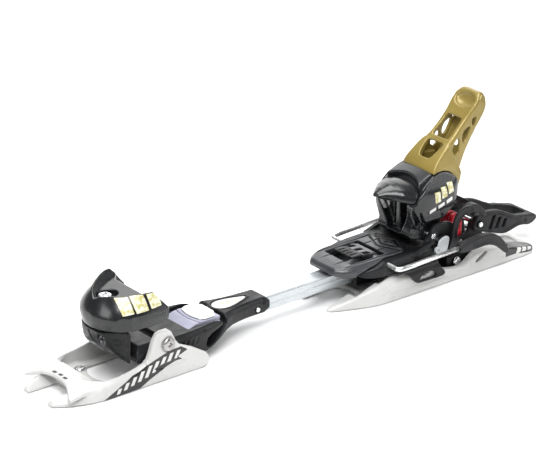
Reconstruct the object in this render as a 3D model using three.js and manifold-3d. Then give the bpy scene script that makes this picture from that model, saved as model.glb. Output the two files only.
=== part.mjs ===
// Touring ski binding with a release toe, a step-in heel, a brake and a walk/ski lock.
// Frame: +X towards the ski tip, +Y towards the near side, +Z up, z = 0 on the ski top. Millimetres.
import * as THREE from 'three';
import { mergeVertices } from 'three/addons/utils/BufferGeometryUtils.js';
import Module from 'manifold-3d';

const wasm = await Module();
wasm.setup();

// Driving dimensions
const GAP = 0.3;
const PIVOT = { x: 171.2, z: 32, r: 4 };
const TOE_AXIS_X = 207;
const TOE_SPLIT_Z = 49.7;
const BAR = { x0: -158, x1: 66, half: 8.5, z0: 14.6, z1: 27.7, wall: 2 };
const BASE = { half: 37.2, wall: 6.2, floor: 4.2 };
const CUP_AXIS = { x: -124, z: 45, r: 3 };
const HEEL_LEVER_AXIS = { x: -139, z: 79, r: 2.6 };
const HEEL_HUB = { r: 20, mid: 14.05, half: 2.35 };
const HEEL_SPRING = { z: 62, r: 6.8 };
const BRAKE_AXIS = { x: -71, z: 33, r: 2.2 };
const CLAW_AXIS = { x: -172, z: 21, r: 2.2 };
const LOCK_AXIS = { x: -188, z: 36, r: 2.5 };
const RELEASE = { y: 10.2, z: 40 };
const SCREW = { head: 4.6, shank: 2.6, headHeight: 2.4 };
const FRONT_SCREWS = [[143, 20], [143, -20], [221, 19], [221, -19]];
const REAR_SCREWS = [[-84, 22], [-84, -22], [-212, 24], [-212, -24]];
const SIDES = [['left', 1], ['right', -1]];
const AFD = { x0: 101, x1: 136, half: 16.5, top: 31.5, floor: 23.5 };

const material = (color, roughness, metalness) => ({ color, roughness, metalness });
const WHITE = material(0xf1f0ec, 0.45, 0);
const BLACK = material(0x1b1c1e, 0.35, 0);
const DARK = material(0x2c2d30, 0.55, 0);
const GREY = material(0x8d8b98, 0.5, 0);
const SILVER = material(0xc9cbcd, 0.35, 0.6);
const STEEL = material(0xb5b8bb, 0.3, 0.9);
const ALLOY = material(0xc4c7c9, 0.4, 0.8);
const GOLD = material(0xa8873a, 0.45, 0.3);
const RED = material(0xd0202c, 0.4, 0);
const CLEAR = material(0xb9c0c4, 0.2, 0);

// Closed outline; a third value on a point rounds that corner.
function outline(points) {
  const shape = new THREE.Shape();
  const count = points.length;
  points.forEach(([x, y, r = 0], i) => {
    const before = points[(i + count - 1) % count];
    const after = points[(i + 1) % count];
    const toward = (p) => {
      const length = Math.hypot(p[0] - x, p[1] - y);
      const share = Math.min(r, length * 0.49) / length;
      return [x + (p[0] - x) * share, y + (p[1] - y) * share];
    };
    const [ax, ay] = toward(before);
    const [bx, by] = toward(after);
    if (i === 0) shape.moveTo(ax, ay);
    else shape.lineTo(ax, ay);
    if (r > 0) shape.quadraticCurveTo(x, y, bx, by);
  });
  shape.closePath();
  return shape;
}

const mirrored = (half) => [...half, ...half.map(([x, y, r]) => [x, -y, r]).reverse()];

// Straight prism from an outline: 'z' takes (x, y), 'y' takes (x, z), 'x' takes (y, z).
function prism(axis, points, from, to, holes = []) {
  const shape = outline(points);
  holes.forEach((hole) => shape.holes.push(outline(hole)));
  const options = { depth: to - from, bevelEnabled: false, curveSegments: 3 };
  const geometry = new THREE.ExtrudeGeometry(shape, options);
  if (axis === 'z') return geometry.translate(0, 0, from);
  if (axis === 'y') return geometry.translate(0, 0, -to).rotateX(Math.PI / 2);
  const turn = new THREE.Matrix4().set(0, 0, 1, from, 1, 0, 0, 0, 0, 1, 0, 0, 0, 0, 0, 1);
  return geometry.applyMatrix4(turn);
}

function box(x0, x1, y0, y1, z0, z1) {
  const geometry = new THREE.BoxGeometry(x1 - x0, y1 - y0, z1 - z0);
  return geometry.translate((x0 + x1) / 2, (y0 + y1) / 2, (z0 + z1) / 2);
}

// Round bar along an axis; the centre is given by the two other coordinates in x, y, z order.
function rod(axis, radius, from, to, c1, c2, segments = 18) {
  const geometry = new THREE.CylinderGeometry(radius, radius, to - from, segments);
  const middle = (from + to) / 2;
  if (axis === 'y') return geometry.translate(c1, middle, c2);
  if (axis === 'z') return geometry.rotateX(Math.PI / 2).translate(c1, c2, middle);
  return geometry.rotateZ(Math.PI / 2).translate(middle, c1, c2);
}

// Turned piece: profile of [radius, height] pairs starting and ending on the axis, standing on +Z.
function turned(profile, segments = 14) {
  const points = profile.map(([r, h]) => new THREE.Vector2(r, h));
  return new THREE.LatheGeometry(points, segments).rotateX(Math.PI / 2);
}

function toManifold(source) {
  const geometry = source.clone();
  ['normal', 'uv'].forEach((name) => geometry.deleteAttribute(name));
  const merged = mergeVertices(geometry, 1e-4);
  const mesh = new wasm.Mesh({
    numProp: 3,
    vertProperties: new Float32Array(merged.attributes.position.array),
    triVerts: new Uint32Array(merged.index.array),
  });
  return new wasm.Manifold(mesh);
}

function fromManifold(solid) {
  const { vertProperties, triVerts } = solid.getMesh();
  const geometry = new THREE.BufferGeometry();
  geometry.setAttribute('position', new THREE.BufferAttribute(vertProperties, 3));
  geometry.setIndex(new THREE.BufferAttribute(triVerts, 1));
  return geometry;
}

const add = (...parts) => fromManifold(parts.map(toManifold).reduce((a, b) => a.add(b)));
const cut = (body, ...tools) => fromManifold(
  tools.map(toManifold).reduce((a, b) => a.subtract(b), toManifold(body)));
const common = (...parts) => fromManifold(parts.map(toManifold).reduce((a, b) => a.intersect(b)));

// The modelled shapes sit around the pivot; the group shifts them so the origin is the middle of the length.
const CENTRE_X = 7;
const root = new THREE.Group();
root.name = 'touring_binding';
root.position.x = -CENTRE_X;

function place(name, geometry, look) {
  const solid = geometry.index ? geometry.toNonIndexed() : geometry;
  solid.computeVertexNormals();
  const mesh = new THREE.Mesh(solid, new THREE.MeshStandardMaterial(look));
  mesh.name = name;
  root.add(mesh);
  return mesh;
}

// ---- Front base -------------------------------------------------------------------------
const frontSide = [
  [276, 0], [276, 2.6, 1], [262, 13, 6], [248, 19, 5], [230, 20.5, 3], [190, 21, 2],
  [186.5, 26, 2], [180, 43.5, 4], [165, 42, 4], [159.5, 29.6, 3], [131, 14, 3], [128, 9, 2],
  [135, 0],
];
const frontPlan = mirrored([
  [276, 17.6], [276, 20.8, 1], [262, 29, 6], [247, 35, 6], [236, BASE.half, 4], [128, BASE.half],
]);
const frontHollow = mirrored([
  [284, 15.2], [274, 16.4], [262, 17, 4], [252, 22, 4], [252, 31, 1], [120, 31],
]);

function frontBase() {
  const rails = common(
    prism('y', frontSide, -BASE.half, BASE.half), prism('z', frontPlan, -1, 50));
  const hollowed = cut(rails, prism('z', frontHollow, -2, 60));
  const floor = prism('z', mirrored([[131, 31.5], [166, 31.5]].reverse()), 0, BASE.floor);
  const tabs = SIDES.map(([, s]) => box(211, 236, s * 22 - 9.5, s * 22 + 9.5, 0, BASE.floor));
  const saddle = prism('x', [
    [-33, 19.5], [-22, 16.5], [-10, 15], [10, 15], [22, 16.5], [33, 19.5],
    [33, 13], [22, 12], [10, 11.3], [-10, 11.3], [-22, 12], [-33, 13],
  ], 230, 261);
  const horns = common(add(saddle, ...SIDES.map(([, s]) => box(238, 262, s * 27 - 5, s * 27 + 5, 0, 15))),
    prism('z', frontPlan, -1, 50));
  const holes = FRONT_SCREWS.flatMap(([x, y]) => [
    rod('z', SCREW.shank + GAP, -1, BASE.floor + 1, x, y, 16),
    rod('z', SCREW.head + GAP, BASE.floor - 2, BASE.floor + 1, x, y, 20)]);
  return cut(add(hollowed, floor, horns, ...tabs), rod('y', PIVOT.r + GAP, -40, 40, PIVOT.x, PIVOT.z), ...holes);
}

function screwAt(name, x, y, seat, length) {
  const { head, shank, headHeight } = SCREW;
  const body = turned([[0, -length], [shank, -length], [shank, 0], [head, 0], [head, headHeight - 0.6],
    [head - 0.8, headHeight], [0, headHeight]]);
  place(name, body.translate(x, y, seat), STEEL);
}

function buildFrontBase() {
  place('front_base', frontBase(), WHITE);
  FRONT_SCREWS.forEach(([x, y], i) => {
    const seat = BASE.floor - 2 + GAP;
    screwAt(`front_screw_${i + 1}`, x, y, seat, seat - 0.2);
  });
  SIDES.forEach(([side, s]) => {
    const head = turned([[0, 0], [PIVOT.r - GAP, 0], [PIVOT.r - GAP, 7.4], [6, 7.4], [6, 8.4], [4.2, 9.8],
      [0, 10.4]]);
    head.rotateX(-s * Math.PI / 2).translate(PIVOT.x, s * (BASE.half + GAP - 7.4), PIVOT.z);
    place(`pivot_bolt_${side}`, head, STEEL);
  });
}

// ---- Carrier frame and bar ----------------------------------------------------------------
function carrierFrame() {
  const side = prism('y', [
    [44, 16], [44, 29.5, 1], [58, 30], [118, 30.4], [150, 31], [160, 32.5, 2], [168, 43, 4],
    [198, TOE_SPLIT_Z - GAP], [198, 19], [180, 15.5, 4], [136, 9, 3], [126, 7.5, 2], [118, 9, 2],
    [94, 17.5, 4],
  ], -31, 31);
  const plan = prism('z', mirrored([
    [198, 30], [150, 30.2, 4], [132, 29, 6], [112, 26, 8], [88, 16, 8], [56, 12.6, 4], [44, 12, 1.5],
  ]), 5, 60);
  const pocket = box(AFD.x0 - 3, AFD.x1 + 2.5, -22, 22, AFD.floor - GAP, 40);
  const toeRoom = box(140, 199, -25.6, 25.6, 32.4, 60);
  const gussets = SIDES.map(([, s]) => prism('y', [[100, 20, 1], [122, 20, 1], [124, 12.5, 2]],
    s * 22 - 9, s * 22 + 9));
  const relief = prism('y', [[130, -5], [196, -5], [196, 14], [180, 12], [140, 6], [130, 6]], -40, 40);
  const seat = box(BAR.x1 - 24, BAR.x1 + GAP, -BAR.half - GAP, BAR.half + GAP, BAR.z0 - GAP, BAR.z1 + GAP);
  const badge = prism('z', badgeOutline(GAP), 29.2, 32);
  return cut(common(side, plan), pocket, toeRoom, ...gussets, relief, seat, badge,
    rod('y', 2.5, -20, 20, 58, 21), rod('y', PIVOT.r, -40, 40, PIVOT.x, PIVOT.z));
}

function badgeOutline(grow) {
  return mirrored([[95 + grow, 3.2 + grow, 2], [88, 8.6 + grow, 3], [61 - grow, 1 + grow, 1]]);
}

function buildCarrier() {
  place('carrier_frame', carrierFrame(), BLACK);
  place('badge_plate', prism('z', badgeOutline(0), 29.4, 30.4), SILVER);
  const { x0, x1, half, z0, z1, wall } = BAR;
  const section = (inset) => [[-half + inset, z0 + inset, 1], [half - inset, z0 + inset, 1],
    [half - inset, z1 - inset, 1], [-half + inset, z1 - inset, 1]];
  const bar = cut(prism('x', section(0), x0, x1, [section(wall)]), rod('y', 2.5, -20, 20, 58, 21));
  place('bar', bar, ALLOY);
  place('bar_pin', rod('y', 2.2, -13.4, 13.4, 58, 21, 16), STEEL);
}

// ---- Sole slide under the boot toe ---------------------------------------------------------
function buildSlide() {
  const { x0, x1, half, top, floor } = AFD;
  const body = prism('y', [[x0, floor], [x0, top - 1.6], [120, top - 1.6], [x1, 27, 1], [x1, floor]],
    -half, half);
  place('slide_block', body, GREY);
  place('slide_plate', prism('z', [[x0 + 1, -half + 1, 2], [119, -half + 1, 2], [119, half - 1, 2],
    [x0 + 1, half - 1, 2]], top - 1.6 + GAP, top + GAP), SILVER);
}

// ---- Toe unit -------------------------------------------------------------------------------
const toeBow = (grow) => [[221.5 + grow, 0, 10], [218 + grow, 14, 8], [210 + grow, 24, 8], [199, 29 + grow, 3]];

function toeHousing() {
  const side = prism('y', [
    [198.3, 19.5], [201, 18, 2], [213, 30, 3], [219.5, 42, 4], [222, TOE_SPLIT_Z - GAP],
    [198.3, TOE_SPLIT_Z - GAP]], -32, 32);
  const plan = prism('z', mirrored([...toeBow(0), [198.3, 29]]).slice(0, -1), 0, 60);
  const slots = SIDES.map(([, s]) => box(197, 203, s * 28 - 4, s * 28 + 4, 20, 60));
  const post = rod('z', 5 + GAP, 32.6, 60, TOE_AXIS_X, 0);
  const window = box(-7.3, 7.3, -7.8, 7.8, -6, 1.6 + GAP).rotateY(-0.785).translate(207.4, -13.5, 24.4);
  return cut(common(side, plan), ...slots, post, window,
    rod('x', 6.4, 213, 230, RELEASE.y, RELEASE.z), rod('x', 4.4, 199, 230, RELEASE.y, RELEASE.z));
}

function toeShell() {
  const side = prism('y', [
    [170, TOE_SPLIT_Z, 1], [221, TOE_SPLIT_Z], [224, 58, 4], [224.5, 65, 5], [220, 72, 5], [211, 75, 3],
    [187, 79.6, 4], [176, 77, 6], [169, 65, 4]], -38, 38);
  const plan = prism('z', mirrored([
    [224.6, 0], [223.6, 9, 6], [219, 18, 8], [211, 27, 8], [198, 34, 8], [182, 36, 6], [167, 35.4],
  ]).slice(1), 40, 90);
  const cavity = prism('z', mirrored([
    [205.5, 0], [204, 14, 5], [197, 24, 8], [186, 30, 6], [160, 31.6],
  ]).slice(1), 40, 61.5);
  const dish = prism('x', [[-33, 84], [-25, 73.5, 3], [25, 73.5, 3], [33, 84]], 160, 213);
  const gap = prism('z', mirrored([[183, 26, 3], [160, 29.5]]), 55, 90);
  const bands = SIDES.map(([, s]) => box(160, 213, s * 37.5 - 4.5, s * 37.5 + 4.5, 40, 60));
  const section = prism('x', mirroredYZ([[36, 45], [36, 62, 6], [31.5, 82, 3]]), 160, 230);
  return cut(common(side, plan, section), cavity, dish, gap, ...bands,
    rod('z', 5 + GAP, 40, 60, TOE_AXIS_X, 0), rod('z', 3.3, 50, 80, TOE_AXIS_X, 0, 16),
    rod('z', 6.3, 70, 90, TOE_AXIS_X, 0));
}

function buildToe() {
  place('toe_housing', toeHousing(), BLACK);
  place('release_post', turned([[0, 33], [5, 33], [5, 58.6], [4, 59.6], [0, 59.6]])
    .translate(TOE_AXIS_X, 0, 0), STEEL);
  place('release_screw', rod('x', 5.8, 214.2, 217.6, RELEASE.y, RELEASE.z), STEEL);
  place('release_spring', cut(rod('x', 4.1, 199.3, 213.8, RELEASE.y, RELEASE.z), rod('x', 2.6, 190, 220, RELEASE.y, RELEASE.z)), DARK);
  place('scale_window', box(-7, 7, -7.5, 7.5, -0.2, 1.6).rotateY(-0.785).translate(207.4, -13.5, 24.4), CLEAR);
  place('toe_shell', toeShell(), BLACK);
  place('toe_height_screw', turned([[0, 60.4], [3, 60.4], [3, 70.3], [6, 70.3], [6, 73], [5.2, 74],
    [0, 74]]).translate(TOE_AXIS_X, 0, 0), STEEL);
}

// ---- Rear base --------------------------------------------------------------------------------
const rearSide = [
  [-13, 0], [-13, 2.4, 1], [-40, 12, 8], [-60, 18.5, 6], [-76, 21.5, 8], [-96, 19, 5], [-108, 14, 4],
  [-114, 18, 2], [-118, 23, 1], [-122, 23, 1], [-127, 17, 2], [-134, 12, 2], [-154, 10.5, 2],
  [-170, 20, 3], [-180, 23, 4], [-192, 21, 4], [-206, 14, 4], [-244, 5.8, 1], [-241, 2, 1], [-224, 0],
];
const rearPlan = mirrored([
  [-13, 16.2, 1], [-14, 19.5, 2], [-40, 30, 10], [-62, BASE.half, 8], [-236, BASE.half, 6],
  [-244, 30, 2], [-244, 0],
]).filter((_, i) => i !== 6);

function rearBase() {
  const block = common(prism('y', rearSide, -BASE.half, BASE.half), prism('z', rearPlan, -1, 40));
  const trough = box(-204, -60, -31, 31, BASE.floor, 40);
  const notch = prism('z', mirrored([[-5, 14.5], [-20, 15.4], [-48, 19, 8], [-56, 10, 6]]), -2, 40);
  const frontTrough = box(-61, -38, -27, 27, BASE.floor, 40);
  const windows = SIDES.map(([, s]) => prism('y', [[-168, 10.5, 1], [-173, 10.5, 1], [-184, 17, 1],
    [-179, 17, 1]], s * 34 - 6, s * 34 + 6));
  const holes = REAR_SCREWS.flatMap(([x, y], i) => [
    rod('z', SCREW.shank + GAP, -1, 30, x, y, 16),
    rod('z', SCREW.head + GAP, i < 2 ? BASE.floor - 2 : 6, 30, x, y, 20)]);
  return cut(block, trough, frontTrough, notch, ...windows, ...holes);
}

function lockBracket() {
  const low = prism('x', [[-28, BASE.floor + GAP], [28, BASE.floor + GAP], [28, 19, 1], [12, 19, 1],
    [12, 12], [-12, 12], [-12, 19, 1], [-28, 19, 1]], -168, -142);
  const cheeks = SIDES.map(([, s]) => prism('y', [[-150, BASE.floor + GAP], [-150, 10], [-164, 14],
    [-168, 26, 3], [-180, 28, 2], [-182, 40, 3], [-194, 40, 4], [-197, 28, 2], [-200, BASE.floor + GAP]],
  s * 11.75 - 1.75, s * 11.75 + 1.75));
  const bridge = box(-199, -178, -11, 11, BASE.floor + GAP, 9);
  return cut(add(low, ...cheeks, bridge),
    rod('y', CLAW_AXIS.r + GAP, -20, 20, CLAW_AXIS.x, CLAW_AXIS.z, 16),
    rod('y', LOCK_AXIS.r + GAP, -20, 20, LOCK_AXIS.x, LOCK_AXIS.z, 16),
    ...SIDES.map(([, s]) => rod('y', 2.4, s * 25 - 5, s * 25 + 5, -153, 13, 16)));
}

function buildRearBase() {
  place('rear_base', rearBase(), WHITE);
  REAR_SCREWS.forEach(([x, y], i) => {
    const seat = (i < 2 ? BASE.floor - 2 : 6) + GAP;
    screwAt(`rear_screw_${i + 1}`, x, y, seat, seat - 0.2);
  });
  place('lock_bracket', lockBracket(), DARK);
  SIDES.forEach(([side, s]) => {
    const screw = turned([[0, 0], [2.1, 0], [2.1, 6], [4.4, 6], [4.4, 7.4], [3.4, 8.4], [0, 8.4]]);
    screw.rotateX(-s * Math.PI / 2).translate(-153, s * 22.4, 13);
    place(`bracket_screw_${side}`, screw, STEEL);
  });
  place('claw_pin', rod('y', CLAW_AXIS.r, -13, 13, CLAW_AXIS.x, CLAW_AXIS.z, 16), STEEL);
  place('lock_lever_pin', rod('y', LOCK_AXIS.r, -22, 22, LOCK_AXIS.x, LOCK_AXIS.z, 16), STEEL);
}

// ---- Walk/ski lock --------------------------------------------------------------------------------
function lockClaw() {
  const body = prism('y', [
    [-155, 28.3, 0.5], [-155, 31, 0.5], [-162, 34, 1], [-164, 46, 2], [-172, 48, 3], [-177, 42, 2],
    [-176, 24, 3], [-172, 17, 3], [-168, 18, 2], [-160.5, 24, 1], [-160.5, 28.3]], -9.7, 9.7);
  return cut(body, rod('y', CLAW_AXIS.r + GAP, -20, 20, CLAW_AXIS.x, CLAW_AXIS.z, 16));
}

function lockLever() {
  const arm = [
    [-181, 30, 3], [-183, 43, 4], [-198, 45, 5], [-214, 42, 6], [-234, 30, 6], [-246, 21, 4],
    [-262, 17.5, 4], [-262, 10, 3], [-254, 9.4, 3], [-242, 13.5, 4], [-225, 18, 4], [-204, 22, 4]];
  const arms = SIDES.map(([, s]) => prism('y', arm, s * 17 - 2.6, s * 17 + 2.6));
  const loop = prism('z', mirrored([[-236, 19.6], [-256, 19.6, 6], [-262, 13, 4]]), 5, 30,
    [mirrored([[-241, 11.5, 2], [-254, 10, 2]])]);
  const end = common(loop, prism('y', arm, -25, 25));
  const ribs = SIDES.flatMap(([, s]) => [0, 1, 2].map((i) => prism('y', [
    [-197 - i * 9, 27 - i * 1.5, 1], [-201 - i * 9, 27 - i * 1.5, 1], [-206 - i * 9, 39 - i * 5, 1],
    [-202 - i * 9, 39 - i * 5, 1]], s * 19.6 - 1.4, s * 19.6 + 1.4)));
  return cut(add(...arms, end), ...ribs,
    rod('y', LOCK_AXIS.r + GAP, -30, 30, LOCK_AXIS.x, LOCK_AXIS.z, 16));
}

// ---- Heel unit --------------------------------------------------------------------------------------
const PEDAL_WELL = { x0: -78, x1: -44, half: 18.4 };

function heelHousing() {
  const side = prism('y', [
    [-44, 29], [-46, 24.5, 2], [-90, 23.6], [-145, 23.6, 2], [-147, 30, 2], [-144, 36.8, 2], [-70, 36.8],
    [-44, 30]], -35, 35);
  const plan = prism('z', mirrored([[-44, 24, 3], [-58, 33, 5], [-128, 34], [-140, 27, 3], [-150, 24, 2]]),
    10, 60);
  const skirt = box(-132, -50, -13, 13, 11.6, 26);
  const posts = SIDES.map(([, s]) => prism('y', [[-110, 30], [-112, 46, 4], [-119, 53, 4], [-129, 53, 4],
    [-138, 44, 4], [-144, 30]], s * 28 - 2.6, s * 28 + 2.6));
  const tunnel = box(-160, -30, -BAR.half - GAP, BAR.half + GAP, BAR.z0 - GAP, BAR.z1 + GAP);
  const well = box(PEDAL_WELL.x0, PEDAL_WELL.x1 + 2, -PEDAL_WELL.half, PEDAL_WELL.half, 27.8, 50);
  return cut(add(common(side, plan), skirt, ...posts), tunnel, well,
    rod('y', BRAKE_AXIS.r + GAP, -50, 50, BRAKE_AXIS.x, BRAKE_AXIS.z, 16),
    rod('y', CUP_AXIS.r + GAP, -50, 50, CUP_AXIS.x, CUP_AXIS.z, 20));
}

function heelPad() {
  const plan = prism('z', mirrored([[-27, 17, 4], [-39, 27, 8], [-92, 29, 4], [-100, 22, 4]]), 20, 50);
  const side = prism('y', [[-27, 31, 2], [-27, 35, 2], [-34, 38.2, 3], [-100, 38.2, 1], [-100, 37.1],
    [-70, 37.1], [-43.6, 30.3], [-43.6, 28.2, 2], [-32, 28.2, 3]], -31, 31);
  return cut(common(plan, side),
    box(PEDAL_WELL.x0, PEDAL_WELL.x1, -PEDAL_WELL.half, PEDAL_WELL.half, 30, 50),
    box(-60, -20, -BAR.half - 1, BAR.half + 1, 20, BAR.z1 + 1));
}

function heelFoot(s) {
  const side = prism('y', [[-72, 27, 3], [-88, 21, 4], [-97, 11, 3], [-128, 10, 2], [-130, 14, 2],
    [-124, 20, 3], [-121, 26, 3]], s * 39.2 - 1.6, s * 39.2 + 1.6);
  const flange = box(-121, -74, s * 37.7 - 3, s * 37.7 + 3, 24.6, 27);
  const eye = prism('y', [[-100, 13, 1], [-119, 13, 1], [-113, 18.5, 1], [-103, 18.5, 1]],
    s * 39.2 - 4, s * 39.2 + 4);
  return cut(add(side, flange), eye);
}

function sidePlate(s) {
  return prism('y', [[-132, 28, 2], [-140, 42, 6], [-148, 56, 6], [-164, 62, 5], [-170, 60, 2],
    [-162, 50, 4], [-152, 34, 4], [-150, 27, 2]], s * 32.6 - 1.4, s * 32.6 + 1.4);
}

function rearGuard() {
  const arc = prism('y', [[-163, 57], [-163, 60, 1], [-170, 63.4, 4], [-178, 60.5, 4], [-186, 52, 2],
    [-184.5, 50, 1], [-176, 56.6, 4], [-169, 59, 3]], -30.8, 30.8);
  return cut(arc, box(-177.5, -160, -22.8, 22.8, 50, 70));
}

function buildHeel() {
  place('heel_housing', heelHousing(), BLACK);
  place('heel_pad', heelPad(), BLACK);
  SIDES.forEach(([side, s]) => {
    place(`heel_foot_${side}`, heelFoot(s), DARK);
    place(`side_plate_${side}`, sidePlate(s), BLACK);
    place(`rail_pin_${side}`, rod('y', 3, s > 0 ? 34.3 : -37.3, s > 0 ? 37.3 : -34.3, -124, 34), SILVER);
  });
  place('rear_guard', rearGuard(), BLACK);
  place('heel_axle', rod('y', CUP_AXIS.r, -31, 31, CUP_AXIS.x, CUP_AXIS.z, 20), STEEL);
  place('length_screw', rod('x', 2.6, -152, -90, 0, 21, 12), STEEL);
}

function heelCup() {
  const { x, z } = CUP_AXIS;
  const hub = HEEL_LEVER_AXIS;
  const side = prism('y', [
    [-80, 83, 1], [-88, 91.5, 5], [-100, 97, 6], [-114, 100, 6], [-130.4, 100.4, 1], [-130.4, 97],
    [-158.6, 97], [-158.6, 80], [-155, 74, 5], [-144, 58, 5], [-136, 50, 4], [x - 7.4, z], [x - 5, z - 5.6],
    [x, z - 7.5], [x + 5, z - 5.6], [-114, 46, 3], [-106, 56, 5], [-99, 66, 4], [-94, 72.5, 2], [-84, 76, 2]],
  -30, 30);
  const plan = prism('z', mirrored([[-80, 1.2], [-87, 9, 4], [-98, 17, 6], [-112, 25, 8], [-128, 28, 6],
    [-152, 26.5, 4], [-160, 22]]), 20, 120);
  const front = prism('x', mirroredYZ([[22, 30], [22, 55, 6], [28.5, 67, 5], [28, 82, 8], [22, 96, 6],
    [16, 101, 3]]), -165, -70);
  const shoulders = cut(box(-170, hub.x, -30, 30, hub.z, 115),
    rod('y', HEEL_HUB.r, -40, 40, hub.x, hub.z, 32));
  const joint = cut(box(hub.x - 1, -130.4, -30, 30, hub.z + 4, 115),
    rod('y', HEEL_HUB.r, -40, 40, hub.x, hub.z, 32));
  const throat = prism('y', [[-98, 72, 3], [-96, 45], [-112, 50, 3], [-116, 70, 3]], -9, 9);
  const leverSlots = SIDES.map(([, s]) => rod('y', HEEL_HUB.r + GAP,
    s * HEEL_HUB.mid - HEEL_HUB.half - GAP, s * HEEL_HUB.mid + HEEL_HUB.half + GAP, hub.x, hub.z, 32));
  return cut(common(side, plan, front), shoulders, joint, throat, ...leverSlots,
    rod('y', CUP_AXIS.r + GAP, -40, 40, x, z, 20), rod('y', hub.r + GAP, -20, 20, hub.x, hub.z, 20),
    rod('x', HEEL_SPRING.r + 0.6, -170, -119.6, 0, HEEL_SPRING.z));
}

function mirroredYZ(half) {
  return [...half, ...half.map(([y, z, r]) => [-y, z, r]).reverse()];
}

function heelLever() {
  const { x, z } = HEEL_LEVER_AXIS;
  const side = prism('y', [
    [-130.8, 92], [-130.8, 99.5, 1], [-140, 108, 6], [-151, 117.5, 6], [-161, 127, 6], [-173, 141, 6],
    [-182, 152, 5], [-188, 158, 3], [-193, 157.5, 3], [-196, 151, 3], [-193, 141, 6], [-180, 119, 8],
    [-169, 103, 6], [-163.5, 92, 4], [-161, 82, 1], [-150, 80]], -24, 24);
  const front = prism('x', mirroredYZ([[21.4, 78], [21, 100, 4], [17.5, 116, 8], [14.6, 134, 8],
    [16.5, 148, 6], [12, 158.4, 8]]), -200, -125);
  const web = (s) => [s * HEEL_HUB.mid - HEEL_HUB.half, s * HEEL_HUB.mid + HEEL_HUB.half];
  const hubs = SIDES.map(([, s]) => rod('y', HEEL_HUB.r, ...web(s), x, z, 32));
  const necks = SIDES.map(([, s]) => prism('y', [[-132, 92], [-132, 99], [-141, 106], [-163, 104],
    [-160, 84]], ...web(s)));
  const windows = [[-168, 127, 23, 17], [-149.5, 109.5, 10, 15]].map(([cx, cz, length, width]) =>
    box(-30, 30, -width / 2, width / 2, -length / 2, length / 2).rotateY(-0.78).translate(cx, 0, cz));
  const sideSlots = [[-160, 109, 8], [-171, 123, 9], [-182, 138, 8]].map(([cx, cz, length]) =>
    box(-2.2, 2.2, -30, 30, -length / 2, length / 2).rotateY(-0.6).translate(cx, 0, cz));
  const shell = cut(common(side, front), rod('y', HEEL_HUB.r + GAP, -40, 40, x, z, 32), ...windows, ...sideSlots);
  return cut(add(shell, ...necks, ...hubs), rod('y', HEEL_LEVER_AXIS.r + GAP, -40, 40, x, z, 20));
}

function buildCup() {
  place('heel_cup', heelCup(), BLACK);
  place('heel_spring', cut(
    rod('x', HEEL_SPRING.r, -142.8, -120, 0, HEEL_SPRING.z), rod('x', 5, -160, -110, 0, HEEL_SPRING.z)), DARK);
  place('heel_screw', rod('x', HEEL_SPRING.r, -146.8, -143.2, 0, HEEL_SPRING.z), STEEL);
  place('heel_lever', heelLever(), GOLD);
  place('heel_lever_pin', rod('y', HEEL_LEVER_AXIS.r, -19.6, 19.6, HEEL_LEVER_AXIS.x, HEEL_LEVER_AXIS.z, 20),
    STEEL);
}

// ---- Brake ------------------------------------------------------------------------------------------
const BRAKE_HALF = 46.6;
const BRAKE_END_X = -146;
const WIRE_SIDES = 8;
const WIRE_STEPS = 44;

function brakeWire() {
  const { x, z, r } = BRAKE_AXIS;
  const half = [[BRAKE_END_X, BRAKE_HALF, 35.4], [x - 10, BRAKE_HALF, z + 0.6], [x - 4, BRAKE_HALF - 1.2, z],
    [x - 1, BRAKE_HALF - 5, z], [x, BRAKE_HALF - 9, z], [x, 30, z], [x, 12, z]];
  const points = [...half, [x, 0, z], ...half.map(([px, py, pz]) => [px, -py, pz]).reverse()];
  const path = new THREE.CatmullRomCurve3(points.map((p) => new THREE.Vector3(...p)), false, 'centripetal');
  const ring = Array.from({ length: WIRE_SIDES }, (_, i) => {
    const angle = (i / WIRE_SIDES) * Math.PI * 2;
    return [Math.cos(angle) * r, Math.sin(angle) * r];
  });
  return new THREE.ExtrudeGeometry(outline(ring), { steps: WIRE_STEPS, extrudePath: path, bevelEnabled: false });
}

function brakePedal() {
  const { x, z } = BRAKE_AXIS;
  const hub = rod('y', 4.9, -12.5, 12.5, x, z);
  const plate = prism('y', [[x + 1, z], [x - 3, z + 4.2], [x + 1, z + 5.4], [-46, 40.6, 1], [-46, 38.4, 1],
    [-60, 36.4], [x + 4, z - 1]], -12.5, 12.5);
  return cut(add(hub, plate), rod('y', BRAKE_AXIS.r + GAP, -20, 20, x, z, 16));
}

function brakeShoe(s) {
  const side = prism('y', [
    [-139, 31.4, 3], [-139, 38.6, 3], [-152, 40.4, 4], [-168, 41, 6], [-182, 38, 8], [-192, 28, 6],
    [-199, 16.5, 2], [-195, 15.5, 1], [-184, 24, 5], [-172, 30, 6], [-155, 30.6, 4]],
  s * BRAKE_HALF - 4, s * BRAKE_HALF + 4);
  return cut(side, rod('x', BRAKE_AXIS.r + 0.6, BRAKE_END_X - 1, -130, s * BRAKE_HALF, 35.3, 16));
}

function buildBrake() {
  place('brake_wire', brakeWire(), STEEL);
  place('brake_pedal', brakePedal(), SILVER);
  SIDES.forEach(([side, s]) => {
    place(`brake_shoe_${side}`, brakeShoe(s), BLACK);
    const ring = cut(rod('y', 4.6, s * 15.4 - 2.4, s * 15.4 + 2.4, BRAKE_AXIS.x, BRAKE_AXIS.z),
      rod('y', 2.6, -30, 30, BRAKE_AXIS.x, BRAKE_AXIS.z));
    place(`brake_spring_${side}`, ring, DARK);
  });
}

buildFrontBase();
buildCarrier();
buildSlide();
buildToe();
buildRearBase();
place('lock_claw', lockClaw(), RED);
place('lock_lever', lockLever(), DARK);
buildHeel();
buildCup();
buildBrake();

export default root;
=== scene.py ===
"""Looks for the ski touring binding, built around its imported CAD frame.

Lengths in the shape code are millimetres from the frame's own datum (see DATUM); blender gets metres."""

import math

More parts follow.
